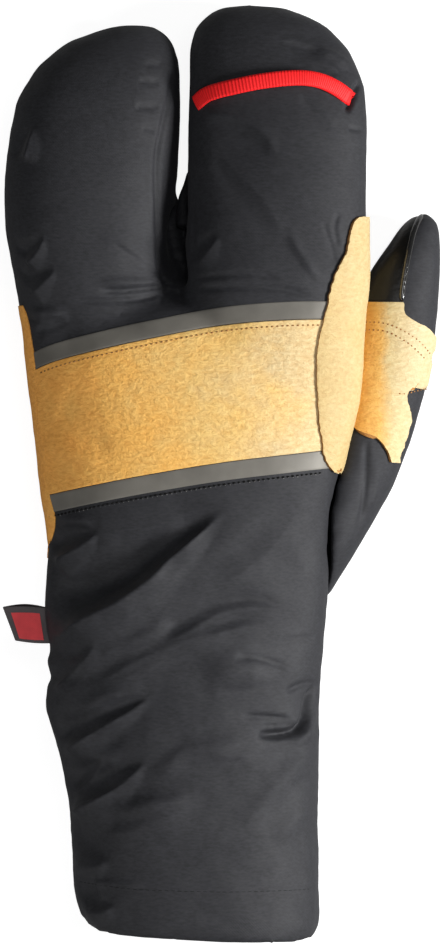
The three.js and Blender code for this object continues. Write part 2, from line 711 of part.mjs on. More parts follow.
function addPiece(name, solid, finish) {
  const made = largestBody(solid).getMesh();
  const geometry = new THREE.BufferGeometry()
    .setAttribute("position", new THREE.BufferAttribute(made.vertProperties, 3))
    .setIndex(new THREE.BufferAttribute(made.triVerts, 1));
  geometry.computeVertexNormals();
  const mesh = new THREE.Mesh(geometry, new THREE.MeshStandardMaterial(finish));
  mesh.name = name;
  glove.add(mesh);
}

const softshellFinish = { color: 0x232326, roughness: 0.75, metalness: 0 };
const leatherFinish = { color: 0xe6b064, roughness: 0.7, metalness: 0 };
const blackLeatherFinish = { color: 0x121212, roughness: 0.35, metalness: 0 };
const tapeFinish = { color: 0x6a6866, roughness: 0.5, metalness: 0.2 };
const webbingFinish = { color: 0xd8161c, roughness: 0.6, metalness: 0 };
const labelFinish = { color: 0x55565a, roughness: 0.8, metalness: 0 };

addPiece("cuff_gauntlet", softshell.intersect(belowWristSeam(seamGap)), softshellFinish);
addPiece("hand_shell", softshell.subtract(belowWristSeam(-seamGap)), softshellFinish);
addPiece("thumb_shell", thumbShell, softshellFinish);
addPiece("knuckle_band", knuckleBand.panel, leatherFinish);
addPiece("upper_tape", upperTape.panel, tapeFinish);
addPiece("lower_tape", lowerTape.panel, tapeFinish);
addPiece("palm_leather", palm.panel.subtract(thumbCavity), leatherFinish);
addPiece("index_side_leather", indexLeather, leatherFinish);
addPiece("thumb_patch", thumbPatch, leatherFinish);
addPiece("thumb_side_leather", thumbInlay.panel.subtract(handAt(seamGap)), blackLeatherFinish);
addPiece("pull_loop", webbingLoop(), webbingFinish);
addPiece("side_label", label, labelFinish);

// The origin is the middle of the footprint, on the surface that the glove lies on.
const footprint = new THREE.Box3().setFromObject(glove);
const middle = footprint.getCenter(new THREE.Vector3());
glove.position.set(-middle.x, -middle.y, -footprint.min.z);
const part = new THREE.Group();
part.add(glove);

export default part;
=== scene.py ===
"""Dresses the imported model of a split-finger winter cycling mitten: padded softshell with its folds, sewn
leather, reflective tapes, a webbing pull loop and a folded side tab. Sizes in the tables are millimetres."""

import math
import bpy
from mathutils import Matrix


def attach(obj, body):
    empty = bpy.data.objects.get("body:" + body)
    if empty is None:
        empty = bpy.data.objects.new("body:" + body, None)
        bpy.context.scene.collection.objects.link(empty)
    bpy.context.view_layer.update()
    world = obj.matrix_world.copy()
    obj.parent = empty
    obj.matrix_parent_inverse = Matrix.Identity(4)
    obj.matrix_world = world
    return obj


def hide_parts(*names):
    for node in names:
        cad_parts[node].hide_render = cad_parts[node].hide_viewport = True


bl_info = {
    "name": "Split-Finger Winter Mitten",
    "version": (1, 0, 0),
    "blender": (4, 5, 0),
    "location": "3D View > Sidebar > Mitten",
    "description": "Dresses a packed split-finger mitten in padded cloth, sewn leather and tapes",
    "category": "Add Mesh",
}

import bmesh
import bpy
import numpy as np
from bpy.props import FloatProperty, FloatVectorProperty, IntProperty, PointerProperty
from mathutils import Vector, noise
from mathutils.bvhtree import BVHTree

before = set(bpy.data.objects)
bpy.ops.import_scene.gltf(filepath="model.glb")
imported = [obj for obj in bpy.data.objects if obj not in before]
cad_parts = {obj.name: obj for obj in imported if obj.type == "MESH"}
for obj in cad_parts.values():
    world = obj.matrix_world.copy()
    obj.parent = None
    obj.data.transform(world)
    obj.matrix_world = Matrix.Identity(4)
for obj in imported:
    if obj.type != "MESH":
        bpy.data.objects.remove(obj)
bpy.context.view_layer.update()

MM = 0.001
HAND_WIDTH = 127.4
BODY_LENGTH = 230.3
ORIGIN = (-9.081, -163.761)
WRIST_SEAM = (0.71, math.radians(8.7))
PALM_EDGE = 23.0
WALL_GROWTH = 1.8  # how far the cloth's inner wall is moved inwards
RAYS = 90  # lines cast round a form to find a leather's edge
WEBBING_RIBS = 66
PICTURE_HEIGHT = 950
PIXEL = 0.35

# The slot between the two compartments: its left, right and lowest place.
SLOT = (-20.4, -9.2, 66)

# Lines along y, as x and z, that the leathers are wrapped round, and the index side's place and size.
KNUCKLE_AXIS = (10.0, 28.0)
INDEX_AXIS = (20.0, 26.0)
PALM_AXIS = (-10.0, 26.0)
THUMB_AXIS = (62.0, 13.0)
INDEX_SIDE = (19.39, 66.54, 62.7, 98.4)

# The leather under each finger compartment: lowest and highest y, left and right.
FINGER_LEATHERS = ((60.5, 143, -66, -22), (60.5, 149, -1, 42))

# The finished pieces by name, with the search tree of the cloth and the leather that two pieces share.
made = {}


def placed(points):
    """Turns shares of the hand's width and the body's length into places in the frame."""
    return [(x * HAND_WIDTH + ORIGIN[0], y * BODY_LENGTH + ORIGIN[1]) for x, y in points]


SIDE_SEAM = placed([
    (-0.412, 0.597), (-0.39, 0.62), (-0.385, 0.64), (-0.387, 0.655), (-0.401, 0.684), (-0.418, 0.725),
    (-0.429, 0.764), (-0.434, 0.825), (-0.438, 0.871), (-0.448, 0.912), (-0.464, 0.956), (-0.495, 0.988),
])
BAND_TOP = placed([
    (-0.478, 0.859), (-0.393, 0.881), (-0.245, 0.902), (-0.099, 0.919), (0.071, 0.936), (0.25, 0.944),
    (0.409, 0.945),
])
BAND_BOTTOM = placed([
    (-0.445, 0.676), (-0.288, 0.695), (-0.129, 0.712), (0.071, 0.73), (0.25, 0.742), (0.409, 0.752),
])
INDEX_LEFT = placed([
    (0.382, 0.713), (0.363, 0.72), (0.348, 0.739), (0.335, 0.783), (0.328, 0.84), (0.327, 0.886),
    (0.335, 0.922), (0.357, 0.97), (0.371, 1.006), (0.404, 1.044), (0.42, 1.084), (0.44, 1.1), (0.467, 1.103),
])
INDEX_RIGHT = placed([
    (0.382, 0.713), (0.409, 0.723), (0.434, 0.746), (0.456, 0.774), (0.484, 0.789), (0.516, 0.802),
])
PATCH_RIGHT = placed([
    (0.536, 0.73), (0.551, 0.73), (0.555, 0.742), (0.577, 0.78), (0.584, 0.801), (0.574, 0.828),
    (0.588, 0.843), (0.628, 0.847), (0.64, 0.869), (0.64, 0.891), (0.655, 0.909), (0.653, 0.919),
    (0.629, 0.935), (0.604, 0.942), (0.573, 0.954), (0.569, 0.973),
])
PATCH_LEFT = placed([
    (0.53, 0.73), (0.519, 0.749), (0.491, 0.768), (0.429, 0.787), (0.409, 0.856), (0.409, 0.973),
])
THUMB_SEAM = placed([
    (0.569, 0.974), (0.571, 0.992), (0.58, 1.023), (0.591, 1.053), (0.602, 1.078), (0.615, 1.096),
    (0.632, 1.112), (0.643, 1.129),
])

# Places where the cloth tilts away from the light: its steepness, then x, y and half the slope's width.
SLOPES = (
    # long fold below the band
    (0.95, ((1.4, -10.8, 0.7), (-7.7, -18.5, 1.8), (-18.2, -26.9, 2.8), (-32.2, -38.5, 3.8),
            (-46.2, -45.5, 5.2), (-57.4, -50, 6.0), (-63, -52, 6.0))),
    # upper left wedge
    (0.85, ((-43, -19.6, 0.5), (-49, -22.8, 2.1), (-56, -26.2, 3.1), (-61, -28.5, 3.4))),
    # side gather
    (0.55, ((-42.7, -57.7, 0.7), (-48.3, -63.3, 1.8), (-56, -69.3, 2.8), (-61, -73, 3))),
    # middle fold
    (0.9, ((-24.1, -76.3, 0.5), (-32.2, -80.8, 1.4), (-42.7, -85.8, 2.4), (-53.2, -92.4, 3.0),
           (-58, -96, 3.2))),
    # lower fold
    (0.85, ((-25.5, -98.7, 0.5), (-33.6, -103.9, 2.1), (-40.9, -108.5, 3.4), (-50.4, -112.7, 4.3),
            (-56, -115, 4.5))),
    # lower fold's second tip
    (0.6, ((-41.3, -98.7, 0.5), (-45.5, -102.5, 1.8), (-51.1, -106.8, 2.4), (-55, -110, 2.6))),
    # above the hem
    (0.5, ((-38.1, -134, 0.7), (-44.8, -133.3, 3.1), (-51.1, -131.9, 4.5), (-55, -131, 4.5))),
    # in the hem
    (0.45, ((-36.4, -150.5, 0.7), (-43.4, -152.2, 3.1), (-49.7, -150.8, 4.2), (-54, -150, 4.2))),
    # soft diagonal
    (0.12, ((28, -8, 1.4), (14, -24.5, 3.1), (-3.5, -37.4, 2.8))),
    # broad hollow
    (0.12, ((-18.2, -61.2, 2.1), (-32.2, -66.1, 3.5), (-44.4, -71, 3.5))),
    # arcs across the gauntlet
    (0.4, ((25.5, -49, 0.6), (13.7, -44.8, 1.2), (0, -46.2, 1.6), (-13.3, -52.8, 1.9), (-22, -57.5, 1.2))),
    (0.32, ((18, -50.5, 0.6), (6, -51.5, 1.6), (-8, -54.2, 2.4), (-21.3, -58, 2.6), (-34, -64, 2.6),
            (-46, -72.5, 1.8))),
    # hollow at the band's outer end
    (0.12, ((-38, 5, 0.8), (-46, 8.5, 3.5), (-55, 13, 5), (-62, 16, 5.5))),
    # above the lower ridges
    (0.25, ((13.7, -96.2, 0.6), (-4, -96.6, 1.5), (-16, -99.5, 2.0), (-26, -105, 1.4))),
    (0.25, ((-8, -113.5, 0.6), (-20, -117.5, 1.6), (-34, -121.5, 2.2), (-42, -122.5, 1.6))),
    # index side, first diagonal
    (0.3, ((-6.6, 125.6, 1), (5.6, 122.1, 1.8), (14, 116.5, 1.8), (18.9, 109.5, 0.7))),
    # index side, second diagonal
    (0.14, ((-3.5, 113, 1), (6.3, 101.1, 2.1), (14.7, 90.6, 2.4), (21, 80.1, 1))),
    # index side, third diagonal
    (0.2, ((27.3, 133.3, 0.7), (32.9, 127.7, 1.4), (39.2, 120, 1))),
    # above the loop
    (0.3, ((19.6, 151.9, 0.7), (30.1, 149.4, 1), (43.4, 144.2, 0.9))),
    # beside the loop
    (0.3, ((31.8, 144.2, 0.7), (35.7, 142.4, 1.2), (40.6, 139.6, 0.7))),
    # crotch, right
    (0.45, ((-1.4, 83.3, 0.7), (-6.3, 78, 1.8), (-10.1, 73.1, 1.4))),
    # outer edge, high
    (0.8, ((-66.2, 121.8, 0.5), (-68.2, 116.2, 1.6), (-70.5, 109.2, 1.8))),
    # outer edge, low
    (0.8, ((-62, 82.9, 0.5), (-65.5, 78, 1.6), (-69.5, 74.5, 2.2))),
    # gather at the side seam
    (0.5, ((-57.7, 71.4, 0.5), (-62.6, 68.6, 1.8), (-68.2, 64.8, 2.8))),
    # tuck above the tape
    (0.5, ((-65.8, 51.8, 1.2), (-59.5, 52.5, 0.9), (-52.8, 53.5, 0.3))),
)

# Creases, below zero, and ridges, above it: height, half width, then x and y along the line.
CREASES = (
    # ridge beside the long fold
    (1.8, 3.2, ((-48.3, -69.3), (-41.3, -63), (-25.2, -55.6), (-14.7, -51.4))),
    # swirl and pillow
    (-0.6, 1.3, ((3.5, -63.3), (11.9, -63.3), (18.2, -65.1), (24.5, -67.9))),
    (-0.4, 1.7, ((-2.4, -75.2), (9.8, -74.5), (22, -71.8))),
    (-0.4, 1.2, ((18.9, -58.8), (25.9, -57), (33.6, -56.7))),
    (1.1, 5.5, ((-9.1, -68.9), (2.8, -68.2), (21, -70.3))),
    # tuck at the thumb side
    (-3.1, 1.2, ((34.3, -71), (31.5, -75.2), (29.7, -80.1), (29, -85), (26.2, -88.5), (20.3, -89.9),
                 (11.2, -89.9))),
    (-0.9, 1.0, ((33.6, -71.8), (27.3, -73.1), (21.7, -75.6))),
    (-0.7, 0.9, ((24.5, -84.7), (16.1, -84), (6.3, -83.3))),
    (-0.4, 0.8, ((27.3, -86.4), (20.3, -86.8), (12.6, -86.8))),
    (1.2, 2.0, ((32.9, -76.6), (31.8, -84.3), (28.3, -91.3), (21.7, -93.4))),
    # folds of the lower gauntlet
    (1.2, 3.2, ((-25.2, -73.8), (-39.2, -77.3), (-54.6, -87.8))),
    (1.2, 3.0, ((-26.6, -108.8), (-18.2, -99), (-7, -94.8), (14, -94.5))),
    (1.4, 3.2, ((-40.6, -120), (-30.1, -115.5), (-16.1, -113.7), (-6.3, -112.3))),
    (0.8, 3.4, ((33.2, -92.8), (23.8, -103.2), (14, -113.7), (4.9, -121.4))),
    (0.7, 3.4, ((33.2, -112.7), (25.2, -120), (16.1, -127))),
    (1.1, 1.8, ((-58.4, -16.8), (-51.1, -15.7), (-43.4, -16.8))),
    # puckers along the little-finger side's inner seam
    (-0.3, 1.2, ((-20.6, 143.1), (-23.1, 143.1), (-26.9, 143.5))),
    (-0.3, 1.3, ((-21.7, 136.8), (-25.2, 136.8), (-29.3, 137.5))),
    (-0.35, 1.3, ((-21.7, 128.8), (-25.5, 128.1), (-30.4, 128.4))),
    (-0.25, 1.2, ((-22, 120), (-24.5, 120.4), (-28, 121.4))),
    # the slot between the compartments, down to the crotch
    (-5.5, 1.9, ((-14.2, 101), (-14.7, 92), (-15, 82), (-15, 74), (-14.8, 64.5))),
    (-1.6, 4.5, ((-14.2, 101), (-14.7, 92), (-15, 82), (-15, 74), (-14.8, 62))),
    # gathers at the crotch
    (-0.9, 1.1, ((-18.2, 66.1), (-25.9, 65.1), (-35.7, 64), (-44.1, 64))),
    (-0.7, 1.0, ((-17.5, 64.8), (-25.9, 61.9), (-36.4, 60.5), (-54.6, 60.5))),
    (-0.5, 1.0, ((-18.9, 67.9), (-26.6, 73.1), (-33.6, 78), (-39.9, 82.9))),
    (-0.6, 1.1, ((-12.6, 66.1), (-5.6, 64.8), (6.3, 65.1), (22.4, 64), (33.6, 60.9))),
    (-0.5, 1.0, ((-11.9, 67.9), (-3.5, 68.9), (9.8, 69.6), (22, 67.9))),
    (-0.5, 0.8, ((-15.4, 65.5), (-14.7, 62.6), (-13.3, 59.1))),
    (-0.4, 0.9, ((-17.5, 65.5), (-20.3, 62.6), (-22.4, 59.1))),
    (0.7, 1.6, ((-18.9, 66.8), (-32.2, 66.8), (-44.1, 67.2))),
    (0.6, 1.8, ((-42.7, 85), (-32.2, 78), (-21.7, 69.6))),
    # lines beside the index side's edge and its ventilation slit
    (-0.5, 0.9, ((40.6, 92), (39.2, 85.8), (40.6, 78.8))),
    (-0.4, 0.9, ((35, 88.5), (37.8, 80.1), (39.9, 72.4))),
    (-0.5, 0.8, ((50.4, 120.4), (46.9, 120.4), (43.4, 121.1))),
    (-1.8, 0.9, ((48.6, 138.9), (46.2, 132.7), (43, 125.6))),
    (0.8, 1.6, ((21.7, 86.4), (26.6, 78), (30.8, 71.8), (35, 65.5))),
    (0.9, 2.0, ((30.1, 144.5), (35, 146.6), (41.3, 144.5), (47.6, 141))),
    # roll above the hem
    (0.7, 1.3, ((-54, -141.2), (-46, -141.6), (-36, -142), (-24, -142.6))),
    # creases of the thumb's root
    (-0.6, 1.0, ((50.4, 13.5), (50.2, 3), (49.6, -8), (47.5, -20))),
    (0.5, 1.6, ((54, 8), (53.6, -4), (52, -16))),
    # fold over the side wrap's top
    (-0.6, 1.0, ((-70.7, 55.6), (-63.7, 53.5), (-53.9, 53.9))),
    (1.2, 1.8, ((-67.9, 56), (-60.2, 56.7), (-52.5, 55.3))),
)

HEM_SEAM = ((-52, -141), (-30, -143.3), (0, -144.1), (40, -143.6))

# Sewn seams of the cloth: depth, half width, then x and y.
SEAMS = (
    # inner seam of the little-finger side
    (-0.65, 0.9, ((-17.5, 141.8), (-18.2, 133), (-20.7, 122.5), (-22.8, 110.3), (-22.8, 96.3), (-22.4, 82.3),
                 (-21.7, 71.8), (-19.3, 67.2), (-14.7, 66.2))),
    # outer seam of the index side
    (-0.7, 0.9, ((50.6, 122), (50.3, 112), (49.8, 100), (49.6, 91))),
    # inner seam of the index side
    (-0.6, 0.9, ((-11, 96), (-10.6, 86), (-11.4, 76), (-13.6, 68))),
    # hem seam
    (-0.12, 0.9, HEM_SEAM),
)

# The hem's line: x and y of the lip of the opening.
HEM = (
    (-51, -150.5), (-49.3, -153), (-46.6, -156.5), (-42.6, -158.5), (-35, -159.5), (-26.5, -160.2),
    (0, -161.7), (13.5, -162), (25.5, -162.1), (31, -161.2), (34, -158.6), (37, -154.5),
)

# Lumps of the gauntlet's little-finger side: place along y, how far they stand out, and half their length.
LUMPS = ((-65.0, 1.1, 2.8), (-70.6, -0.8, 2.2))


class MittenSizes(bpy.types.PropertyGroup):
    """Sizes of the mitten's sewn pieces."""

    voxel: FloatProperty(
        name="Cloth grid", description="Size of the cells that the cloth forms start from",
        default=0.0016, min=0.0012, max=0.004, precision=4, unit="LENGTH",
    )
    fold_strength: FloatProperty(
        name="Fold strength", description="How deep the folds and creases are", default=1.25, min=0, max=2,
        subtype="FACTOR",
    )
    ripple: FloatProperty(
        name="Ripple", description="Height of the cloth's fine unevenness", default=0.00015, min=0,
        max=0.001, precision=5, unit="LENGTH",
    )
    leather_thickness: FloatProperty(
        name="Leather thickness", description="Thickness of the sewn leather", default=0.0012, min=0.0005,
        max=0.003, precision=4, unit="LENGTH",
    )
    tape_width: FloatProperty(
        name="Tape width", description="Width of the reflective tapes", default=0.0064, min=0.002,
        max=0.012, precision=4, unit="LENGTH",
    )
    webbing_width: FloatProperty(
        name="Webbing width", description="Width of the pull loop's webbing", default=0.0055, min=0.003,
        max=0.012, precision=4, unit="LENGTH",
    )
    stitch_length: FloatProperty(
        name="Stitch length", description="Length of one stitch", default=0.0017, min=0.0008, max=0.005,
        precision=4, unit="LENGTH",
    )


class MittenColours(bpy.types.PropertyGroup):
    """Colours of the mitten's finishes."""

    softshell: FloatVectorProperty(
        name="Softshell", description="Colour of the padded cloth", subtype="COLOR", size=3, min=0, max=1,
        default=(0.019, 0.0192, 0.0222),
    )
    tan: FloatVectorProperty(
        name="Tan leather", description="Middle colour of the knuckle band and palm", subtype="COLOR",
        size=3, min=0, max=1, default=(0.76, 0.42, 0.1),
    )
    pale: FloatVectorProperty(
        name="Pale leather", description="Colour of the leather on the index side and thumb",
        subtype="COLOR", size=3, min=0, max=1, default=(0.58, 0.45, 0.22),
    )
    tape: FloatVectorProperty(
        name="Tape", description="Colour of the reflective tapes", subtype="COLOR", size=3, min=0, max=1,
        default=(0.16, 0.15, 0.13),
    )
    webbing: FloatVectorProperty(
        name="Webbing", description="Colour of the pull loop", subtype="COLOR", size=3, min=0, max=1,
        default=(0.98, 0.018, 0.02),
    )


def spline(points, per_span=8):
    """A smooth line through points, whose columns past x and y are carried along."""
    p = np.array(points, float)
    ends = np.vstack([2 * p[0] - p[1], p, 2 * p[-1] - p[-2]])
    t = np.linspace(0, 1, per_span, endpoint=False)[:, None]
    out = []
    for i in range(len(p) - 1):
        a, b, c, d = ends[i:i + 4]
        out.append(0.5 * (2 * b + (c - a) * t + (2 * a - 5 * b + 4 * c - d) * t**2
                          + (3 * b - a - 3 * c + d) * t**3))
    out.append(p[-1:])
    return np.vstack(out)


def beside(xy, line, reach):
    """The places within reach of a line, their distance to its left, and their share of its length."""
    low, high = line[:, :2].min(0) - reach, line[:, :2].max(0) + reach
    near = np.flatnonzero(((xy > low) & (xy < high)).all(1))
    p = xy[near]
    best = np.full(len(near), 1e9)
    side = np.zeros(len(near))
    along = np.zeros(len(near))
    at = np.r_[0, np.cumsum(np.linalg.norm(np.diff(line[:, :2], axis=0), axis=1))]
    for k in range(len(line) - 1):
        a = line[k, :2]
        d = line[k + 1, :2] - a
        t = np.clip(((p - a) @ d) / max(d @ d, 1e-9), 0, 1)
        off = p - a - t[:, None] * d
        far = np.hypot(off[:, 0], off[:, 1])
        closer = far < best
        best = np.where(closer, far, best)
        side = np.where(closer, np.sign(d[0] * off[:, 1] - d[1] * off[:, 0]) * far, side)
        along = np.where(closer, (at[k] + t * (at[k + 1] - at[k])) / at[-1], along)
    return near, side, along, at / at[-1]


def faded(along, share):
    """1 along a line, and falling to 0 over this share of it at either end."""
    t = np.clip(np.minimum(along, 1 - along) / share, 0, 1)
    return t * t * (3 - 2 * t)


def smoothstep(x, low, high):
    t = np.clip((x - low) / (high - low), 0, 1)
    return t * t * (3 - 2 * t)


def fold_height(xy, strength):
    """How far the folds and creases lift the cloth at places seen from above."""
    height = np.zeros(len(xy))
    for steep, points in SLOPES:
        line = spline(points, 6)
        near, side, along, at = beside(xy, line, 4.5 * line[:, 2].max())
        half = np.interp(along, at, line[:, 2])
        t = side / half
        past = np.exp(-np.maximum(t - 1, 0) / 1.4) * (1 - smoothstep(t, 2.2, 4))
        rise = np.where(t > 0, np.minimum(t, 1) * past, t * np.exp(-t * t / 4))
        height[near] += steep * half * rise * faded(along, 0.2)
    for lift, half, points in CREASES:
        near, side, along, at = beside(xy, spline(points, 6), 3 * half)
        height[near] += lift * np.exp(-((side / half) ** 2)) * faded(along, 0.22 if lift < 0 else 0.38)
    return height * strength


def seam_height(xy):
    """The grooves of the sewn seams, with a soft roll beside each."""
    height = np.zeros(len(xy))
    for depth, half, points in SEAMS:
        near, side, along, at = beside(xy, spline(points, 6), 4 * half)
        t = side / half
        height[near] += (depth * np.exp(-t * t) + 0.12 * abs(depth) * np.exp(-(abs(t) - 2) ** 2)) * faded(
            along, 0.06
        )
    return height


def uneven(points, scale, seed, stretch=(1, 1, 1)):
    """Smooth noise from about -1 to 1 at each place."""
    scaled = points * (np.array(stretch) / scale) + seed * 17.3
    return np.array([noise.noise(Vector(p)) for p in scaled])


def evaluated(obj):
    """Replaces an object's mesh by the result of its modifiers."""
    bpy.context.view_layer.update()
    graph = bpy.context.evaluated_depsgraph_get()
    mesh = bpy.data.meshes.new_from_object(obj.evaluated_get(graph))
    old = obj.data
    obj.modifiers.clear()
    obj.data = mesh
    mesh.name = obj.name
    if old.users == 0:
        bpy.data.meshes.remove(old)
    return obj


def new_object(name, verts, faces, material=None):
    """A mesh object from points in millimetres."""
    mesh = bpy.data.meshes.new(name)
    mesh.from_pydata((np.asarray(verts) * MM).tolist(), [], [list(f) for f in faces])
    mesh.update()
    obj = bpy.data.objects.new(name, mesh)
    bpy.context.scene.collection.objects.link(obj)
    if material:
        mesh.materials.append(material)
    return obj


def places(mesh):
    co = np.zeros(len(mesh.vertices) * 3)
    mesh.vertices.foreach_get("co", co)
    return co.reshape(-1, 3) / MM


def set_places(mesh, co):
    mesh.vertices.foreach_set("co", (co * MM).ravel())
    mesh.update()


def facings(mesh):
    n = np.zeros(len(mesh.vertices) * 3)
    mesh.vertex_normals.foreach_get("vector", n)
    return n.reshape(-1, 3)


def edges_of(mesh):
    e = np.zeros(len(mesh.edges) * 2, np.int64)
    mesh.edges.foreach_get("vertices", e)
    return e.reshape(-1, 2)


def averaged(values, edges, share, rounds, back=None):
    """Evens out values over the mesh. With back, each round is undone in part, so nothing shrinks."""
    a = np.r_[edges[:, 0], edges[:, 1]]
    b = np.r_[edges[:, 1], edges[:, 0]]
    count = np.maximum(np.bincount(a, minlength=len(values)), 1)
    v = values.reshape(len(values), -1).astype(float)
    for k in range(rounds):
        for factor in ([share, back] if back else [share]):
            mean = np.stack([np.bincount(a, v[b, c], len(v)) for c in range(v.shape[1])], 1) / count[:, None]
            v = v + factor * (mean - v)
    return v.reshape(values.shape)


def parted(co, share=1):
    """Widens the narrow gap between the two finger compartments, so that the grid keeps it open. A share of -1
    closes it again."""
    x, y = co[:, 0], co[:, 1]
    near = smoothstep(y, 68, 88) * (1 - smoothstep(y, 150, 162))
    index_wall = 1.5 * (1 - smoothstep(x, -11, 9)) * (x > -13.3)
    little_wall = 0.35 * smoothstep(x, -36, -15) * (x <= -13.3)
    out = co.copy()
    out[:, 0] += share * near * (index_wall - little_wall)
    return out


def tree_of(mesh):
    """A search tree over a mesh."""
    corners = [tuple(v.co) for v in mesh.vertices]
    return BVHTree.FromPolygons(corners, [tuple(f.vertices) for f in mesh.polygons])


def cloth_form(name, nodes, voxel, shape=None):
    """A closed cloth shell from copies of CAD solids: evened out, with a finer grid on its outside."""
    bm = bmesh.new()
    for node in nodes:
        bm.from_mesh(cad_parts[node].data)
    bmesh.ops.remove_doubles(bm, verts=bm.verts, dist=1e-6)
    mesh = bpy.data.meshes.new(name)
    bm.to_mesh(mesh)
    bm.free()
    co = places(mesh)
    inside = facing_hollow(co, facings(mesh), mesh) * smoothstep(co[:, 1], -162, -156)
    co += facings(mesh) * (WALL_GROWTH * inside)[:, None]
    set_places(mesh, shape(co) if shape else co)
    obj = bpy.data.objects.new(name, mesh)
    bpy.context.scene.collection.objects.link(obj)
    remesh = obj.modifiers.new("Grid", "REMESH")
    remesh.mode = "VOXEL"
    remesh.voxel_size = voxel
    evaluated(obj)
    mesh = obj.data
    edges = edges_of(mesh)
    co = averaged(places(mesh), edges, 0.62, 240, -0.6285)
    rim = smoothstep(-co[:, 1], 136, 150)[:, None]
    if rim.any():
        co = co + rim * (averaged(co, edges, 0.6, 60, -0.606) - co)
    set_places(mesh, co)
    out = 1 - facing_hollow(co, facings(mesh), mesh, 0.5)
    bm = bmesh.new()
    bm.from_mesh(mesh)
    layer = bm.verts.layers.float.new("outer")
    bm.verts.ensure_lookup_table()
    for v, value in zip(bm.verts, out):
        v[layer] = float(value)
    bm.normal_update()
    chosen = [e for e in bm.edges
              if min(v[layer] for v in e.verts) > 0.5 and max(v.normal.z for v in e.verts) > -0.5]
    bmesh.ops.subdivide_edges(bm, edges=chosen, cuts=1, use_grid_fill=True)
    bm.to_mesh(mesh)
    bm.free()
    outer = np.zeros(len(mesh.vertices))
    mesh.attributes["outer"].data.foreach_get("value", outer)
    edges = edges_of(mesh)
    co = averaged(places(mesh), edges, 0.5, 3)
    set_places(mesh, co)
    mesh.attributes.remove(mesh.attributes["outer"])
    way = facings(mesh) * np.where(outer > 0.5, 1.0, -1.0)[:, None]
    if shape:
        co = shape(co, -1)
    return obj, co, averaged(way, edges, 0.6, 8)


def cut_at_wrist(obj, name, keep_hand):
    """The part of a form above or below the wrist seam, closed where it is cut."""
    share, turn = WRIST_SEAM
    up = Vector((-math.sin(turn), math.cos(turn), 0))
    place = Vector((ORIGIN[0], share * BODY_LENGTH + ORIGIN[1], 0)) * MM + up * (4e-5 if keep_hand else -4e-5)
    bm = bmesh.new()
    bm.from_mesh(obj.data)
    everything = bm.verts[:] + bm.edges[:] + bm.faces[:]
    bmesh.ops.bisect_plane(bm, geom=everything, dist=1e-7, plane_co=place, plane_no=up,
                           clear_inner=keep_hand, clear_outer=not keep_hand)
    rim = [e for e in bm.edges if e.is_boundary]
    filled = bmesh.ops.triangle_fill(bm, use_beauty=True, edges=rim)
    wanted = -up if keep_hand else up
    for item in filled["geom"]:
        if isinstance(item, bmesh.types.BMFace):
            item.normal_update()
            if item.normal.dot(wanted) < 0:
                item.normal_flip()
    mesh = bpy.data.meshes.new(name)
    bm.to_mesh(mesh)
    bm.free()
    part = bpy.data.objects.new(name, mesh)
    bpy.context.scene.collection.objects.link(part)
    return part


def facing_hollow(co, n, mesh, nearest=3.0):
    """1 where a vertex faces the hollow, and 0 on the outside or where another surface is nearer than that."""
    tree = tree_of(mesh)
    inner = np.zeros(len(co))
    for i in range(len(co)):
        facing = Vector(n[i])
        hit = tree.ray_cast(Vector(co[i]) * MM + facing * 1e-4, facing, 0.13)
        inner[i] = hit[0] is not None and hit[3] > nearest * MM
    left, right, lowest = SLOT
    inner[(co[:, 1] > lowest) & (co[:, 0] > left) & (co[:, 0] < right)] = 0
    return inner


def on_surface(tree, xy, up=True):
    """Where lines dropped from above, or raised from below, meet a surface."""
    start = 200.0 if up else -100.0
    way = Vector((0, 0, -1 if up else 1))
    out = np.zeros((len(xy), 3))
    for i, (x, y) in enumerate(xy):
        hit = tree.ray_cast(Vector((x, y, start)) * MM, way)[0]
        if hit is None:
            hit = tree.find_nearest(Vector((x, y, 20.0 if up else 5.0)) * MM)[0]
        out[i] = Vector(hit) / MM
    return out


def fan(tree, y, centre, angles):
    """Where lines towards a centre, from all round it, meet a surface. Angle 0 is the thumb side."""
    out = np.zeros((len(angles), 3))
    c = Vector((centre[0], y, centre[1])) * MM
    for i, a in enumerate(angles):
        away = Vector((math.cos(a), 0, math.sin(a)))
        hit = tree.ray_cast(c + away * 0.15, -away)[0]
        out[i] = Vector(hit if hit is not None else c + away * 0.01) / MM
    return out


def grid_facings(grid):
    """Outward normals of a grid of points whose rows run along y and whose columns run clockwise."""
    along = np.gradient(grid, axis=0)
    across = np.gradient(grid, axis=1)
    n = np.cross(across, along)
    return n / np.maximum(np.linalg.norm(n, axis=2, keepdims=True), 1e-9)


def softened(grid):
    """Evens out a grid of points without moving its border."""
    g = grid.copy()
    for _ in range(2):
        g[1:-1, 1:-1] = 0.5 * g[1:-1, 1:-1] + 0.125 * (
            g[:-2, 1:-1] + g[2:, 1:-1] + g[1:-1, :-2] + g[1:-1, 2:]
        )
    return g


def panel(name, grids, proud, thickness, material, edge=0.25, raw=None):
    """A sewn panel of even thickness from grids of surface points, standing proud of the surface. A raw edge
    shows its own material where it is cut; the leathers' dark orange one is partly the cut's colour and partly
    painted shade."""
    verts, faces = [], []
    for grid in grids:
        rows, cols = grid.shape[:2]
        base = len(verts)
        top = softened(grid) + grid_facings(grid) * proud
        verts.extend(top.reshape(-1, 3))
        for r in range(rows - 1):
            for c in range(cols - 1):
                a = base + r * cols + c
                faces.append((a, a + 1, a + cols + 1, a + cols))
    obj = new_object(name, verts, faces, material)
    wall = obj.modifiers.new("Thickness", "SOLIDIFY")
    wall.thickness = thickness * MM
    wall.offset = -1
    wall.use_quality_normals = True
    bevel = obj.modifiers.new("Edge", "BEVEL")
    if raw:
        obj.data.materials.append(raw)
        wall.material_offset_rim = 1
        bevel.material = 1
    bevel.width = edge * MM
    bevel.segments = 2
    bevel.limit_method = "ANGLE"
    bevel.angle_limit = math.radians(50)
    evaluated(obj)
    return obj


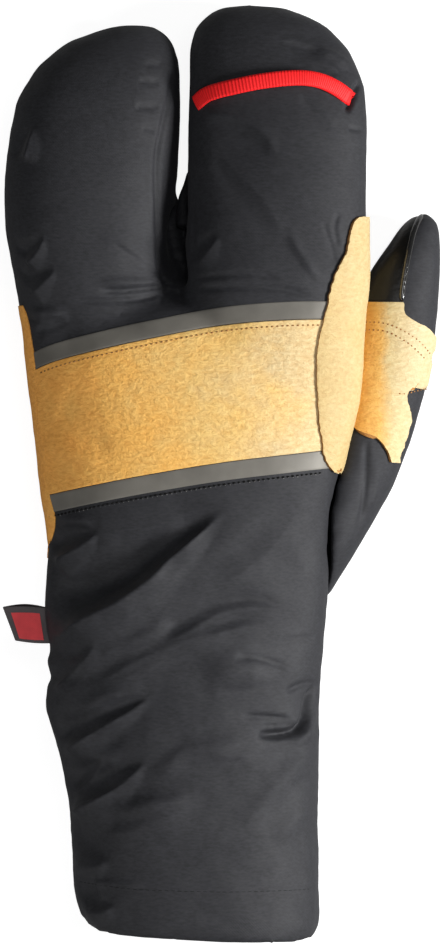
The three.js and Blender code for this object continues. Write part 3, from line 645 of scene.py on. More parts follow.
def rod(name, line, radius, material, sides=10):
    """A closed round rod along a line of points, thinner towards its ends."""
    line = np.asarray(line)
    along = np.gradient(line, axis=0)
    along /= np.linalg.norm(along, axis=1, keepdims=True)
    aside = np.cross(along, (0, 0, 1.0))
    aside /= np.linalg.norm(aside, axis=1, keepdims=True)
    up = np.cross(aside, along)
    turn = np.linspace(0, math.tau, sides, endpoint=False)[None, :, None]
    size = radius * np.sqrt(np.clip(np.linspace(0, 1, len(line)) * np.linspace(1, 0, len(line)) * 16, 0.04, 1))
    ring = np.cos(turn) * aside[:, None] + np.sin(turn) * up[:, None]
    verts = (line[:, None] + ring * size[:, None, None]).reshape(-1, 3)
    count = len(line)
    faces = []
    for r in range(count - 1):
        for c in range(sides):
            a, b = r * sides + c, r * sides + (c + 1) % sides
            faces.append((a, b, b + sides, a + sides))
    faces += [tuple(range(sides))[::-1], tuple(range((count - 1) * sides, count * sides))]
    obj = new_object(name, verts, faces, material)
    bm = bmesh.new()
    bm.from_mesh(obj.data)
    bmesh.ops.recalc_face_normals(bm, faces=bm.faces)
    bm.to_mesh(obj.data)
    bm.free()
    return obj


def finished(obj, body_nodes):
    """Shades a piece smoothly, hangs it under the root body, hides the CAD parts that it replaces and keeps it
    by name.
    """
    for face in obj.data.polygons:
        face.use_smooth = True
    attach(obj, "root")
    if body_nodes:
        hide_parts(*body_nodes)
    made[obj.name] = obj
    return obj


def node(tree, kind, place, links=(), **values):
    """Adds a shader or geometry node. Values set its inputs by name, links join them to other sockets."""
    n = tree.nodes.new(kind)
    n.location = (place[0] * 200, place[1] * 200)
    for key, value in values.items():
        if hasattr(n, key):
            setattr(n, key, value)
    for name, source in dict(links).items():
        tree.links.new(source, n.inputs[name])
    return n


def maths(tree, operation, place, a, b=0.0):
    """The result of a math node on two values, each a socket or a number."""
    n = node(tree, "ShaderNodeMath", place, operation=operation)
    for k, value in enumerate((a, b)):
        if isinstance(value, float):
            n.inputs[k].default_value = value
        else:
            tree.links.new(value, n.inputs[k])
    return n.outputs[0]


def set_inputs(n, **values):
    for key, value in values.items():
        n.inputs[key.replace("_", " ")].default_value = value
    return n


def new_group(name, inputs, outputs):
    """A shader node group with named inputs and outputs."""
    tree = bpy.data.node_groups.new(name, "ShaderNodeTree")
    for socket, kind, default in inputs:
        made_socket = tree.interface.new_socket(socket, in_out="INPUT", socket_type=kind)
        if default is not None:
            made_socket.default_value = default
    for socket, kind in outputs:
        tree.interface.new_socket(socket, in_out="OUTPUT", socket_type=kind)
    return tree, tree.nodes.new("NodeGroupInput"), tree.nodes.new("NodeGroupOutput")


def weave_group():
    """Crossed threads: a height, and a slow mottle from a noise."""
    tree, start, end = new_group(
        "Woven Threads",
        [("Vector", "NodeSocketVector", None), ("Threads per Metre", "NodeSocketFloat", 1800.0),
         ("Unevenness", "NodeSocketFloat", 0.4)],
        [("Height", "NodeSocketFloat"), ("Mottle", "NodeSocketFloat")],
    )
    link = tree.links.new
    scale = node(tree, "ShaderNodeVectorMath", (1, 1), operation="SCALE")
    link(start.outputs["Vector"], scale.inputs[0])
    link(start.outputs["Threads per Metre"], scale.inputs["Scale"])
    split = node(tree, "ShaderNodeSeparateXYZ", (2, 1), {"Vector": scale.outputs[0]})
    waves = []
    for k, axis in enumerate("XY"):
        turn = maths(tree, "MULTIPLY", (3, k), split.outputs[axis], math.tau)
        waves.append(maths(tree, "SINE", (4, k), turn))
    crossed = maths(tree, "MULTIPLY", (5, 0), *waves)
    mottle = node(tree, "ShaderNodeTexNoise", (3, -1), {"Vector": start.outputs["Vector"]})
    set_inputs(mottle, Scale=90.0, Detail=6.0, Roughness=0.6)
    uneven_part = maths(tree, "MULTIPLY", (5, -1), mottle.outputs["Fac"], start.outputs["Unevenness"])
    link(maths(tree, "ADD", (6, 0), crossed, uneven_part), end.inputs["Height"])
    link(mottle.outputs["Fac"], end.inputs["Mottle"])
    return tree


def grain_group():
    """Leather grain: fine pebbles over drawn-out crinkles, and a slow drift of tone."""
    tree, start, end = new_group(
        "Leather Grain",
        [("Vector", "NodeSocketVector", None), ("Crinkles per Metre", "NodeSocketFloat", 820.0),
         ("Pebbles per Metre", "NodeSocketFloat", 1100.0), ("Pebble Height", "NodeSocketFloat", 0.35)],
        [("Height", "NodeSocketFloat"), ("Creases", "NodeSocketFloat"), ("Cloud", "NodeSocketFloat")],
    )
    link = tree.links.new
    drawn = node(tree, "ShaderNodeVectorMath", (1, 1), {0: start.outputs["Vector"]}, operation="MULTIPLY")
    drawn.inputs[1].default_value = (0.5, 1.0, 0.7)
    crinkles = node(tree, "ShaderNodeTexNoise", (4, 1),
                    {"Vector": drawn.outputs[0], "Scale": start.outputs["Crinkles per Metre"]})
    set_inputs(crinkles, Detail=4.0, Roughness=0.62, Distortion=0.2)
    plateau = node(tree, "ShaderNodeMapRange", (7, 1), {"Value": crinkles.outputs["Fac"]})
    set_inputs(plateau, From_Min=0.32, From_Max=0.66)
    pebbles = node(tree, "ShaderNodeTexVoronoi", (4, 0),
                   {"Vector": start.outputs["Vector"], "Scale": start.outputs["Pebbles per Metre"]})
    low = maths(tree, "MULTIPLY", (5, 0), pebbles.outputs["Distance"], start.outputs["Pebble Height"])
    cloud = node(tree, "ShaderNodeTexNoise", (4, -1), {"Vector": start.outputs["Vector"]})
    set_inputs(cloud, Scale=55.0, Detail=5.0, Roughness=0.62)
    link(maths(tree, "SUBTRACT", (8, 0), plateau.outputs["Result"], low), end.inputs["Height"])
    # Creases is 0 in the crinkles' hollows and 1 on their tops; leather_material uses it to paint shade into
    # the hollows.
    link(plateau.outputs["Result"], end.inputs["Creases"])
    link(cloud.outputs["Fac"], end.inputs["Cloud"])
    return tree


groups = {}


def group(name):
    """A shader node group, built when it is first asked for."""
    if name not in groups:
        groups[name] = {"weave": weave_group, "grain": grain_group}[name]()
    return groups[name]


def new_material(name, roughness, specular):
    """A material whose shader and object coordinates are ready to be linked to."""
    material = bpy.data.materials.new(name)
    material.use_nodes = True
    tree = material.node_tree
    shader = tree.nodes["Principled BSDF"]
    set_inputs(shader, Roughness=roughness)
    shader.inputs["Specular IOR Level"].default_value = specular
    coords = node(tree, "ShaderNodeTexCoord", (-6, 0))
    return material, tree, shader, coords.outputs["Object"]


def use_group(tree, name, vector, **values):
    """Places a node group in a material, with its own values."""
    n = node(tree, "ShaderNodeGroup", (-4, 0))
    n.node_tree = group(name)
    tree.links.new(vector, n.inputs["Vector"])
    return set_inputs(n, **values)


def ramp(tree, source, stops, place):
    """A colour that follows the stops as the source grows."""
    n = node(tree, "ShaderNodeValToRGB", place, {"Fac": source})
    elements = n.color_ramp.elements
    while len(elements) < len(stops):
        elements.new(0.5)
    for element, (at, colour) in zip(elements, stops):
        element.position = at
        element.color = (*colour, 1)
    return n.outputs["Color"]


def base_colour(tree, shader, source, stops):
    """Colours a shader by the stops as the source grows."""
    tree.links.new(ramp(tree, source, stops, (-2, 1)), shader.inputs["Base Color"])


def bump(tree, shader, height, strength, distance):
    """Gives a shader a fine relief."""
    n = node(tree, "ShaderNodeBump", (-1, -2), {"Height": height})
    set_inputs(n, Strength=strength, Distance=distance)
    tree.links.new(n.outputs["Normal"], shader.inputs["Normal"])


def tinted(colour, factor):
    return tuple(min(1.0, c * f) for c, f in zip(colour, factor))


def mottled(colour, dark, light):
    """Stops that darken and lighten a colour by these factors."""
    return [(0.3, tinted(colour, (dark,) * 3)), (0.7, tinted(colour, (light,) * 3))]


def softshell_material(colour):
    """Matt cloth with fine flecks drawn out across the mitten."""
    material, tree, shader, vector = new_material("Softshell", 0.58, 0.32)
    weave = use_group(tree, "weave", vector, Threads_per_Metre=1900.0, Unevenness=0.5)
    drawn = node(tree, "ShaderNodeVectorMath", (-5, 2), {0: vector}, operation="MULTIPLY")
    drawn.inputs[1].default_value = (0.35, 1.0, 0.6)
    flecks = node(tree, "ShaderNodeTexNoise", (-4, 2), {"Vector": drawn.outputs[0]})
    set_inputs(flecks, Scale=1300.0, Detail=3.0, Roughness=0.6)
    base_colour(tree, shader, flecks.outputs["Fac"],
                [(0.32, tinted(colour, (0.72, 0.72, 0.72))), (0.68, tinted(colour, (1.3, 1.3, 1.32)))])
    rough = node(tree, "ShaderNodeMapRange", (-2, 0), {"Value": weave.outputs["Mottle"]})
    set_inputs(rough, From_Min=0.3, From_Max=0.7, To_Min=0.54, To_Max=0.68)
    tree.links.new(rough.outputs["Result"], shader.inputs["Roughness"])
    set_inputs(shader, Sheen_Weight=0.03, Sheen_Roughness=0.45)
    bump(tree, shader, weave.outputs["Height"], 0.35, 0.00012)
    return material


def leather_material(name, stops, low, high, crease_shade_strength):
    """Grained leather. Its colour follows the stops from low to high in x, with a slow drift of tone; the stops
    paint the light and shade that fall across the piece, and painted shade darkens its creases.
    """
    material, tree, shader, vector = new_material(name, 0.62, 0.35)
    grain = use_group(tree, "grain", vector)
    split = node(tree, "ShaderNodeSeparateXYZ", (-4, 2), {"Vector": vector})
    # painted light and shade: the place in x runs along the stops, so the colour changes across the piece as
    # the light falls on it
    place = node(tree, "ShaderNodeMapRange", (-3, 2), {"Value": split.outputs["X"]})
    set_inputs(place, From_Min=low * MM, From_Max=high * MM)
    drift = node(tree, "ShaderNodeMapRange", (-3, 1), {"Value": grain.outputs["Cloud"]}, clamp=False)
    set_inputs(drift, From_Min=0.3, From_Max=0.7, To_Min=-0.16, To_Max=0.16)
    mixed = maths(tree, "ADD", (-2.5, 2), drift.outputs["Result"], place.outputs["Result"])
    tone = ramp(tree, mixed, stops, (-2, 2))
    # painted shade: a darker, browner copy of the stops, mixed in where the grain's creases lie
    deep = ramp(tree, mixed, [(at, tinted(colour, (0.66, 0.46, 0.28))) for at, colour in stops], (-2, 1))
    crease_shaded = node(tree, "ShaderNodeMix", (-1, 1), data_type="RGBA")
    crease_shade_mix = node(tree, "ShaderNodeMapRange", (-2, 0), {"Value": grain.outputs["Creases"]})
    set_inputs(crease_shade_mix, To_Min=1 - crease_shade_strength, To_Max=1.0)
    mix_values = [i for i in crease_shaded.inputs if i.type == "RGBA"]
    tree.links.new(crease_shade_mix.outputs["Result"], crease_shaded.inputs["Factor"])
    tree.links.new(deep, mix_values[0])
    tree.links.new(tone, mix_values[1])
    tree.links.new([o for o in crease_shaded.outputs if o.type == "RGBA"][0], shader.inputs["Base Color"])
    bump(tree, shader, grain.outputs["Height"], 0.5, 0.0004)
    return material


def black_leather_material(name, roughness, specular):
    """Smooth black leather with a faint grain."""
    material, tree, shader, vector = new_material(name, roughness, specular)
    grain = use_group(tree, "grain", vector, Pebbles_per_Metre=700.0)
    base_colour(tree, shader, grain.outputs["Cloud"], [(0.3, (0.004,) * 3), (0.7, (0.010, 0.0095, 0.009))])
    bump(tree, shader, grain.outputs["Height"], 0.3, 0.0002)
    return material


def tape_material(colour):
    """Grey tape with a fine cell pattern."""
    material, tree, shader, vector = new_material("Reflective Tape", 0.56, 0.35)
    cells = node(tree, "ShaderNodeTexVoronoi", (-4, 0), {"Vector": vector})
    set_inputs(cells, Scale=2600.0)
    cloud = node(tree, "ShaderNodeTexNoise", (-4, 1), {"Vector": vector})
    set_inputs(cloud, Scale=60.0, Detail=4.0)
    base_colour(tree, shader, cloud.outputs["Fac"], mottled(colour, 0.8, 1.25))
    set_inputs(shader, Metallic=0.2)
    bump(tree, shader, cells.outputs["Distance"], 0.15, 0.00008)
    return material


def webbing_material(colour):
    """Webbing whose ribs cross it along its own length, with painted shade between the ribs."""
    material, tree, shader, vector = new_material("Ribbed Webbing", 0.55, 0.25)
    uv = node(tree, "ShaderNodeUVMap", (-6, 1), uv_map="along")
    split = node(tree, "ShaderNodeSeparateXYZ", (-5, 1), {"Vector": uv.outputs["UV"]})
    turn = maths(tree, "MULTIPLY", (-4, 1), split.outputs["X"], math.tau * WEBBING_RIBS)
    rib = maths(tree, "SINE", (-3, 1), turn)
    # painted shade: the colour darkens where the ribs' wave dips, standing in for the shade in the grooves
    # between ribs
    base_colour(tree, shader, rib, [(0.0, tinted(colour, (0.8, 0.6, 0.6))), (0.9, colour)])
    fuzz = node(tree, "ShaderNodeTexNoise", (-4, -1), {"Vector": vector})
    set_inputs(fuzz, Scale=1500.0, Detail=3.0)
    bump(tree, shader, maths(tree, "ADD", (-2, -1), rib, fuzz.outputs["Fac"]), 0.45, 0.0001)
    return material


def cloth_material(name, colour, scale=1400.0, roughness=0.7):
    """A plain woven cloth, such as a tab, or thread."""
    material, tree, shader, vector = new_material(name, roughness, 0.35)
    weave = use_group(tree, "weave", vector, Threads_per_Metre=scale, Unevenness=0.4)
    base_colour(tree, shader, weave.outputs["Mottle"], mottled(colour, 0.8, 1.2))
    bump(tree, shader, weave.outputs["Height"], 0.4, 0.00015)
    return material


def stitch_tree():
    """A node tree that lays stitches along the edges of a line."""
    tree = bpy.data.node_groups.new("Stitches", "GeometryNodeTree")
    tree.interface.new_socket("Geometry", in_out="INPUT", socket_type="NodeSocketGeometry")
    for name, value in (("Spacing", 0.002), ("Length", 0.0014), ("Radius", 0.0002), ("Unevenness", 0.15)):
        tree.interface.new_socket(name, in_out="INPUT", socket_type="NodeSocketFloat").default_value = value
    tree.interface.new_socket("Seed", in_out="INPUT", socket_type="NodeSocketInt").default_value = 4
    tree.interface.new_socket("Thread", in_out="INPUT", socket_type="NodeSocketMaterial")
    tree.interface.new_socket("Geometry", in_out="OUTPUT", socket_type="NodeSocketGeometry")
    start, end = tree.nodes.new("NodeGroupInput"), tree.nodes.new("NodeGroupOutput")
    link = tree.links.new
    curve = node(tree, "GeometryNodeMeshToCurve", (1, 0), {"Mesh": start.outputs["Geometry"]})
    points = node(tree, "GeometryNodeCurveToPoints", (2, 0),
                  {"Curve": curve.outputs["Curve"], "Length": start.outputs["Spacing"]}, mode="LENGTH")
    ball = node(tree, "GeometryNodeMeshUVSphere", (1, -2))
    set_inputs(ball, Segments=8, Rings=6, Radius=1.0)
    half = maths(tree, "MULTIPLY", (1, -3), start.outputs["Length"], 0.5)
    size = node(tree, "ShaderNodeCombineXYZ", (2, -3),
                {"X": start.outputs["Radius"], "Y": start.outputs["Radius"], "Z": half})
    grown = node(tree, "GeometryNodeTransform", (3, -2),
                 {"Geometry": ball.outputs["Mesh"], "Scale": size.outputs["Vector"]})
    least = maths(tree, "SUBTRACT", (2, -4), 1.0, start.outputs["Unevenness"])
    chance = node(tree, "FunctionNodeRandomValue", (3, -4), data_type="FLOAT")
    floats = [i for i in chance.inputs if i.type == "VALUE"]
    link(least, floats[0])
    floats[1].default_value = 1.0
    link(start.outputs["Seed"], chance.inputs["Seed"])
    laid = node(tree, "GeometryNodeInstanceOnPoints", (4, 0),
                {"Points": points.outputs["Points"], "Instance": grown.outputs["Geometry"],
                 "Rotation": points.outputs["Rotation"]})
    link([o for o in chance.outputs if o.type == "VALUE" and o.enabled][0], laid.inputs["Scale"])
    real = node(tree, "GeometryNodeRealizeInstances", (5, 0), {"Geometry": laid.outputs["Instances"]})
    thread = node(tree, "GeometryNodeSetMaterial", (6, 0),
                  {"Geometry": real.outputs["Geometry"], "Material": start.outputs["Thread"]})
    link(thread.outputs["Geometry"], end.inputs["Geometry"])
    return tree


def stitches(name, lines, material, spacing, length, radius, unevenness=0.15):
    """A piece of stitches along lines of points in millimetres."""
    mesh = bpy.data.meshes.new(name)
    verts, links = [], []
    for line in lines:
        base = len(verts)
        verts.extend((np.asarray(line) * MM).tolist())
        links.extend((base + k, base + k + 1) for k in range(len(line) - 1))
    mesh.from_pydata(verts, links, [])
    obj = bpy.data.objects.new(name, mesh)
    bpy.context.scene.collection.objects.link(obj)
    if "stitches" not in groups:
        groups["stitches"] = stitch_tree()
    modifier = obj.modifiers.new("Stitches", "NODES")
    modifier.node_group = groups["stitches"]
    values = {"Spacing": spacing * MM, "Length": length * MM, "Radius": radius * MM,
              "Unevenness": unevenness, "Thread": material}
    for item in groups["stitches"].interface.items_tree:
        if item.in_out == "INPUT" and item.name in values:
            modifier[item.identifier] = values[item.name]
    return evaluated(obj)


def raised(tree, xy, rise):
    """A line seen from above, laid on a surface and raised by rise."""
    line = on_surface(tree, xy)
    for _ in range(3):
        line[1:-1] = 0.5 * line[1:-1] + 0.25 * (line[:-2] + line[2:])
    line[:, 2] += rise
    return line


def trued_hem(co, bins=120):
    """Moves the places near the opening along y, until its lip lies on the hem's line all the way round."""
    low = co[:, 1] < -150
    centre = co[low].mean(0)
    angle = np.arctan2(co[:, 2] - centre[2], co[:, 0] - centre[0])
    step = np.floor((angle + math.pi) / math.tau * bins).astype(int) % bins
    lip = np.full(bins, -150.0)
    np.minimum.at(lip, step[low], co[low, 1])
    turns = (np.arange(bins) + 0.5) / bins * math.tau - math.pi
    line = np.array(HEM)
    shift = np.interp(co[:, 0], line[:, 0], line[:, 1]) - np.interp(angle, turns, lip, period=math.tau)
    co = co.copy()
    co[:, 1] += np.clip(shift, -4, 4) * smoothstep(-co[:, 1], 141, 157)
    return co


def sculpt(obj, co, n, strength, ripple):
    """Lifts folds, seams and ripples out of a cloth form. The inner wall follows, so its thickness stays."""
    up = smoothstep(n[:, 2], 0.22, 0.72)
    height = (fold_height(co[:, :2], strength) + seam_height(co[:, :2])) * up
    busy = 1 + 1.2 * smoothstep(-co[:, 1], 20, 90)
    aside = smoothstep(-n[:, 0], 0.3, 0.8) * (co[:, 0] < -40) * (co[:, 1] < -20)
    for y, out, half in LUMPS:
        height += out * aside * np.exp(-((co[:, 1] - y) / half) ** 2)
    height += ripple * busy * (uneven(co, 14.0, 1, (1, 1.6, 1)) + 0.45 * uneven(co, 5.0, 2, (1, 1.5, 1)))
    co = co + n * height[:, None]
    rim = smoothstep(-co[:, 1], 152, 159)[:, None]
    if rim.any():
        co = co + rim * (averaged(co, edges_of(obj.data), 0.5, 60, -0.506) - co)
        co = trued_hem(co)
    set_places(obj.data, co)


class MITTEN_OT_cloth(bpy.types.Operator):
    """Builds the padded gauntlet, hand and thumb with their folds and seams."""

    bl_idname = "mitten.cloth"
    bl_label = "Padded cloth"
    bl_options = {"REGISTER", "UNDO"}

    def execute(self, context):
        sizes, colours = context.scene.mitten_sizes, context.scene.mitten_colours
        material = softshell_material(tuple(colours.softshell))
        sources = ["cuff_gauntlet", "hand_shell", "knuckle_band", "upper_tape", "lower_tape", "palm_leather"]
        whole, co, n = cloth_form("whole", sources, sizes.voxel, parted)
        sculpt(whole, co, n, sizes.fold_strength, sizes.ripple / MM)
        made["cloth"] = tree_of(whole.data)
        thumb, co, n = cloth_form("padded_thumb", ["thumb_shell", "thumb_side_leather"], sizes.voxel)
        sculpt(thumb, co, n, sizes.fold_strength, sizes.ripple / MM)
        pieces = (
            (cut_at_wrist(whole, "padded_gauntlet", False), "cuff_gauntlet", 0.5),
            (cut_at_wrist(whole, "padded_hand", True), "hand_shell", 0.6),
            (thumb, "thumb_shell", 0.6),
        )
        bpy.data.objects.remove(whole)
        for obj, stands_for, fill in pieces:
            obj.data.materials.clear()
            obj.data.materials.append(material)
            finished(obj, [stands_for])
        return {"FINISHED"}


def x_at(points, y):
    """x of a line at heights y, for a line whose y only grows."""
    line = spline(points, 10)
    order = np.argsort(line[:, 1], kind="stable")
    return np.interp(y, line[order, 1], line[order, 0])


def y_at(points, x):
    """y of a line at places x, for a line whose x only grows."""
    line = spline(points, 10)
    return np.interp(x, line[:, 0], line[:, 1])


def band_grid(tree, rise_low, rise_high, bottom, top, rows, cols):
    """Surface points of a band across the back between two lines moved along y."""
    left, right = -70.0, 43.0
    u = np.linspace(0, 1, cols)[None, :] ** 1.25
    v = np.linspace(0, 1, rows)[:, None]
    x = left + (right - left) * u + 0 * v
    for _ in range(4):
        y = (1 - v) * (y_at(bottom, x) + rise_low) + v * (y_at(top, x) + rise_high)
        x = x_at(SIDE_SEAM, y) + (right - x_at(SIDE_SEAM, y)) * u
    xy = np.stack([x, y], 2).reshape(-1, 2)
    return on_surface(tree, xy).reshape(rows, cols, 3)


def wrapped_rows(tree, ys, centre_of, start_of, end_of, cols, sweep):
    """Rows of surface points that run round a form, between two angles found for each row."""
    rows = []
    for y in ys:
        centre = centre_of(y)
        angles = np.linspace(sweep[0], sweep[1], RAYS)
        points = fan(tree, y, centre, angles)
        a, b = start_of(y, angles, points), end_of(y, angles, points)
        rows.append(fan(tree, y, centre, np.linspace(a, b, cols)))
    return np.array(rows)


def ragged(y, seed, reach=0.32):
    """How far a raw-cut leather edge wanders at y."""
    turns = ((5.0, 1.0), (1.8, 0.9), (0.8, 0.5))
    return reach * sum(share * noise.noise(Vector((y / scale, seed, scale))) for scale, share in turns)


def angle_where(values, angles, wanted):
    """The first angle at which the values pass the wanted one."""
    past = np.flatnonzero(np.diff(np.sign(values - wanted)) != 0)
    if not len(past):
        return angles[np.argmin(abs(values - wanted))]
    k = past[0]
    t = (wanted - values[k]) / (values[k + 1] - values[k])
    return angles[k] + t * (angles[k + 1] - angles[k])


class MITTEN_OT_band(bpy.types.Operator):
    """Sews the knuckle band and its two reflective tapes onto the back."""

    bl_idname = "mitten.band"
    bl_label = "Knuckle band and tapes"
    bl_options = {"REGISTER", "UNDO"}

    def execute(self, context):
        sizes, colours = context.scene.mitten_sizes, context.scene.mitten_colours
        tree = made["cloth"]
        middle = tuple(colours.tan)
        # painted light: the stops turn the leather from deep orange on the left, the side away from the key
        # light, to pale cream on the right, where the light falls
        tan = leather_material(
            "Tan Leather",
            [(0.0, tinted(middle, (1.32, 1.12, 0.95))), (0.28, tinted(middle, (1.3, 1.3, 1.3))),
             (0.56, tinted(middle, (1.16, 1.4, 2.0))), (0.88, tinted(middle, (0.97, 1.36, 3.0)))],
            -66, 42, 0.5,
        )
        made["tan"] = tan
        tape = tape_material(tuple(colours.tape))
        width = sizes.tape_width / MM
        thickness = sizes.leather_thickness / MM
        grid = band_grid(tree, 0, 0, BAND_BOTTOM, BAND_TOP, 60, 150)
        finished(panel("knuckle_band_sewn", [grid], 0.45, thickness, tan), ["knuckle_band"])
        grid = band_grid(tree, 0.2, width, BAND_TOP, BAND_TOP, 8, 150)
        finished(panel("upper_tape_sewn", [grid], 0.3, 0.8, tape), ["upper_tape"])
        grid = band_grid(tree, -width, -0.2, BAND_BOTTOM, BAND_BOTTOM, 8, 150)
        finished(panel("lower_tape_sewn", [grid], 0.3, 0.8, tape), ["lower_tape"])
        return {"FINISHED"}


class MITTEN_OT_gusset(bpy.types.Operator):
    """Sews the small gusset that closes the gap between the two finger compartments at its root."""

    bl_idname = "mitten.gusset"
    bl_label = "Gusset"
    bl_options = {"REGISTER", "UNDO"}

    def execute(self, context):
        middle = [(-11.6, 106.5, 19), (-12.2, 101.5, 20), (-13.0, 97, 20), (-13.3, 92, 20), (-13.4, 86, 20)]
        line = spline(middle, 8)
        radii = np.interp(np.linspace(0, 1, len(line)), [0, 0.25, 0.5, 1], [0.5, 1.3, 2.2, 2.9])
        cloth = made["padded_hand"].data.materials[0]
        finished(rod("crotch_gusset", line, radii, cloth, 16), [])
        return {"FINISHED"}


class MITTEN_OT_leathers(bpy.types.Operator):
    """Sews the palm leather, the leather over the index side, and the thumb's patch and black leather."""

    bl_idname = "mitten.leathers"
    bl_label = "Palm, index side and thumb leathers"
    bl_options = {"REGISTER", "UNDO"}

    def execute(self, context):
        sizes, colours = context.scene.mitten_sizes, context.scene.mitten_colours
        thickness = sizes.leather_thickness / MM
        hand = made["cloth"]
        thumb = tree_of(made["padded_thumb"].data)
        middle = tuple(colours.pale)
        # painted light: the stops make the index side's leather a little more orange on the left and paler on
        # the right, where the light falls
        pale = leather_material(
            "Pale Leather",
            [(0.0, tinted(middle, (0.97, 0.9, 0.75))), (0.4, middle), (0.8, tinted(middle, (1.0, 1.05, 1.2)))],
            28, 72, 0.4,
        )
        # painted shade: the dark orange edge material is partly the raw cut's own colour and partly the shadow
        # line along the panels' edges
        raw = cloth_material("Raw Leather Edge and Shade", (0.42, 0.19, 0.05), 900.0, 0.85)
        # painted shade: the orange on the patch's left paints the shade in the crease between hand and thumb,
        # fading to pale towards the right
        patch = leather_material(
            "Thumb Patch Leather",
            [(0.0, tinted(middle, (1.3, 0.84, 0.34))), (0.3, tinted(middle, (1.3, 0.96, 0.5))),
             (0.55, tinted(middle, (1.1, 1.14, 1.2))), (1.0, tinted(middle, (1.1, 1.17, 1.4)))],
            48, 68, 0.4,
        )
        self.index_side(hand, thickness, pale, raw)
        self.thumb_patch(hand, thumb, thickness, patch, raw)
        self.thumb_side(thumb, thickness)
        self.palm(hand, thickness)
        return {"FINISHED"}

    def index_side(self, hand, thickness, material, raw):
        ys = np.linspace(INDEX_LEFT[0][1] + 0.3, INDEX_LEFT[-1][1] - 0.3, 170)

        def start(y, angles, points):
            return angle_where(points[:, 0], angles, float(x_at(INDEX_LEFT, y)) + ragged(y, 3))

        def end(y, angles, points):
            limit = float(x_at(INDEX_RIGHT, y)) if y < INDEX_RIGHT[-1][1] else 1e3
            widest = int(np.argmax(points[:, 0]))
            if limit < points[widest, 0]:
                return angle_where(points[:widest + 1, 0], angles[:widest + 1], limit)
            return angle_where(points[widest:, 2], angles[widest:], 20.5)

        sweep = (math.radians(120), math.radians(-25))
        grid = wrapped_rows(hand, ys, lambda y: INDEX_AXIS, start, end, 40, sweep)
        obj = panel("index_side_leather_sewn", [grid], 1.35, thickness, material, 0.38, raw)
        finished(obj, ["index_side_leather"])

    def thumb_patch(self, hand, thumb, thickness, material, raw):
        ys = np.linspace(PATCH_RIGHT[1][1] + 0.2, PATCH_RIGHT[-1][1] - 0.2, 120)
        thumbwards = np.radians(np.linspace(40, -40, 30))
        rows = []
        for y in ys:
            edge = fan(hand, y, KNUCKLE_AXIS, thumbwards)[:, 0].max()
            left = max(float(x_at(PATCH_LEFT, y)), edge + 0.4)
            widest = fan(thumb, y, THUMB_AXIS, thumbwards)[:, 0].max()
            right = max(min(float(x_at(PATCH_RIGHT, y)) + ragged(y, 8), widest - 0.7), left + 1)
            rows.append([(x, y) for x in np.linspace(left, right, 60)])
        grid = on_surface(thumb, np.array(rows).reshape(-1, 2)).reshape(len(ys), 60, 3)
        obj = panel("thumb_patch_sewn", [grid], 1.35, thickness, material, 0.3, raw)
        finished(obj, ["thumb_patch"])

    def thumb_side(self, thumb, thickness):
        ys = np.linspace(THUMB_SEAM[0][1] + 0.3, 90.5, 60)
        seam = lambda y, angles, points: angle_where(points[:, 0], angles, float(x_at(THUMB_SEAM, y)))
        low = lambda y, angles, points: angle_where(points[30:, 2], angles[30:], 5.0)
        centre = lambda y: (float(np.interp(y, [40, 92], [56, 70])), 13.0)
        grid = wrapped_rows(thumb, ys, centre, seam, low, 40, (math.radians(20), math.radians(215)))
        gloss = black_leather_material("Black Leather", 0.3, 0.28)
        rolled = black_leather_material("Rolled Black Leather", 0.16, 0.9)
        set_inputs(rolled.node_tree.nodes["Principled BSDF"], Coat_Weight=0.8, Coat_Roughness=0.1)
        obj = panel("thumb_side_leather_sewn", [grid[:, ::-1]], 0.4, thickness, gloss)
        finished(obj, ["thumb_side_leather"])
        seam = spline(THUMB_SEAM, 8)
        seam = seam[seam[:, 1] < 91.5]
        line = raised(thumb, seam - (0.6, 0), 0.3)
        finished(rod("thumb_seam_roll", line, 1.15, rolled), [])

    def palm(self, hand, thickness):
        ys = np.linspace(0.585 * BODY_LENGTH + ORIGIN[1], 0.968 * BODY_LENGTH + ORIGIN[1], 110)

        def start(y, angles, points):
            if SIDE_SEAM[0][1] < y:
                return angle_where(points[:, 0], angles, float(x_at(SIDE_SEAM, y)) + 0.1)
            return angle_where(points[:, 2], angles, PALM_EDGE)

        def end(y, angles, points):
            return angle_where(points[55:, 2], angles[55:], PALM_EDGE - 3)

        sweep = (math.radians(110), math.radians(375))
        grid = wrapped_rows(hand, ys, lambda y: PALM_AXIS, start, end, 170, sweep)
        grids = [grid[:, ::-1]]
        for low, high, left, right in FINGER_LEATHERS:
            v = np.linspace(0, 1, 90)[:, None]
            u = np.linspace(0, 1, 50)[None, :]
            y = low + (high - low) * v + 0 * u
            pinch = np.sqrt(np.clip(1 - ((v - 0.72) / 0.285).clip(0, 1) ** 2.6, 0.02, 1))
            middle = (left + right) / 2 + (4 if left < -50 else -4) * v
            x = middle + (u - 0.5) * (right - left) * pinch
            flat = on_surface(hand, np.stack([x, y], 2).reshape(-1, 2), up=False).reshape(90, 50, 3)
            grids.append(flat[:, ::-1])
        obj = panel("palm_leather_sewn", grids, 0.4, thickness, made["tan"])
        finished(obj, ["palm_leather"])


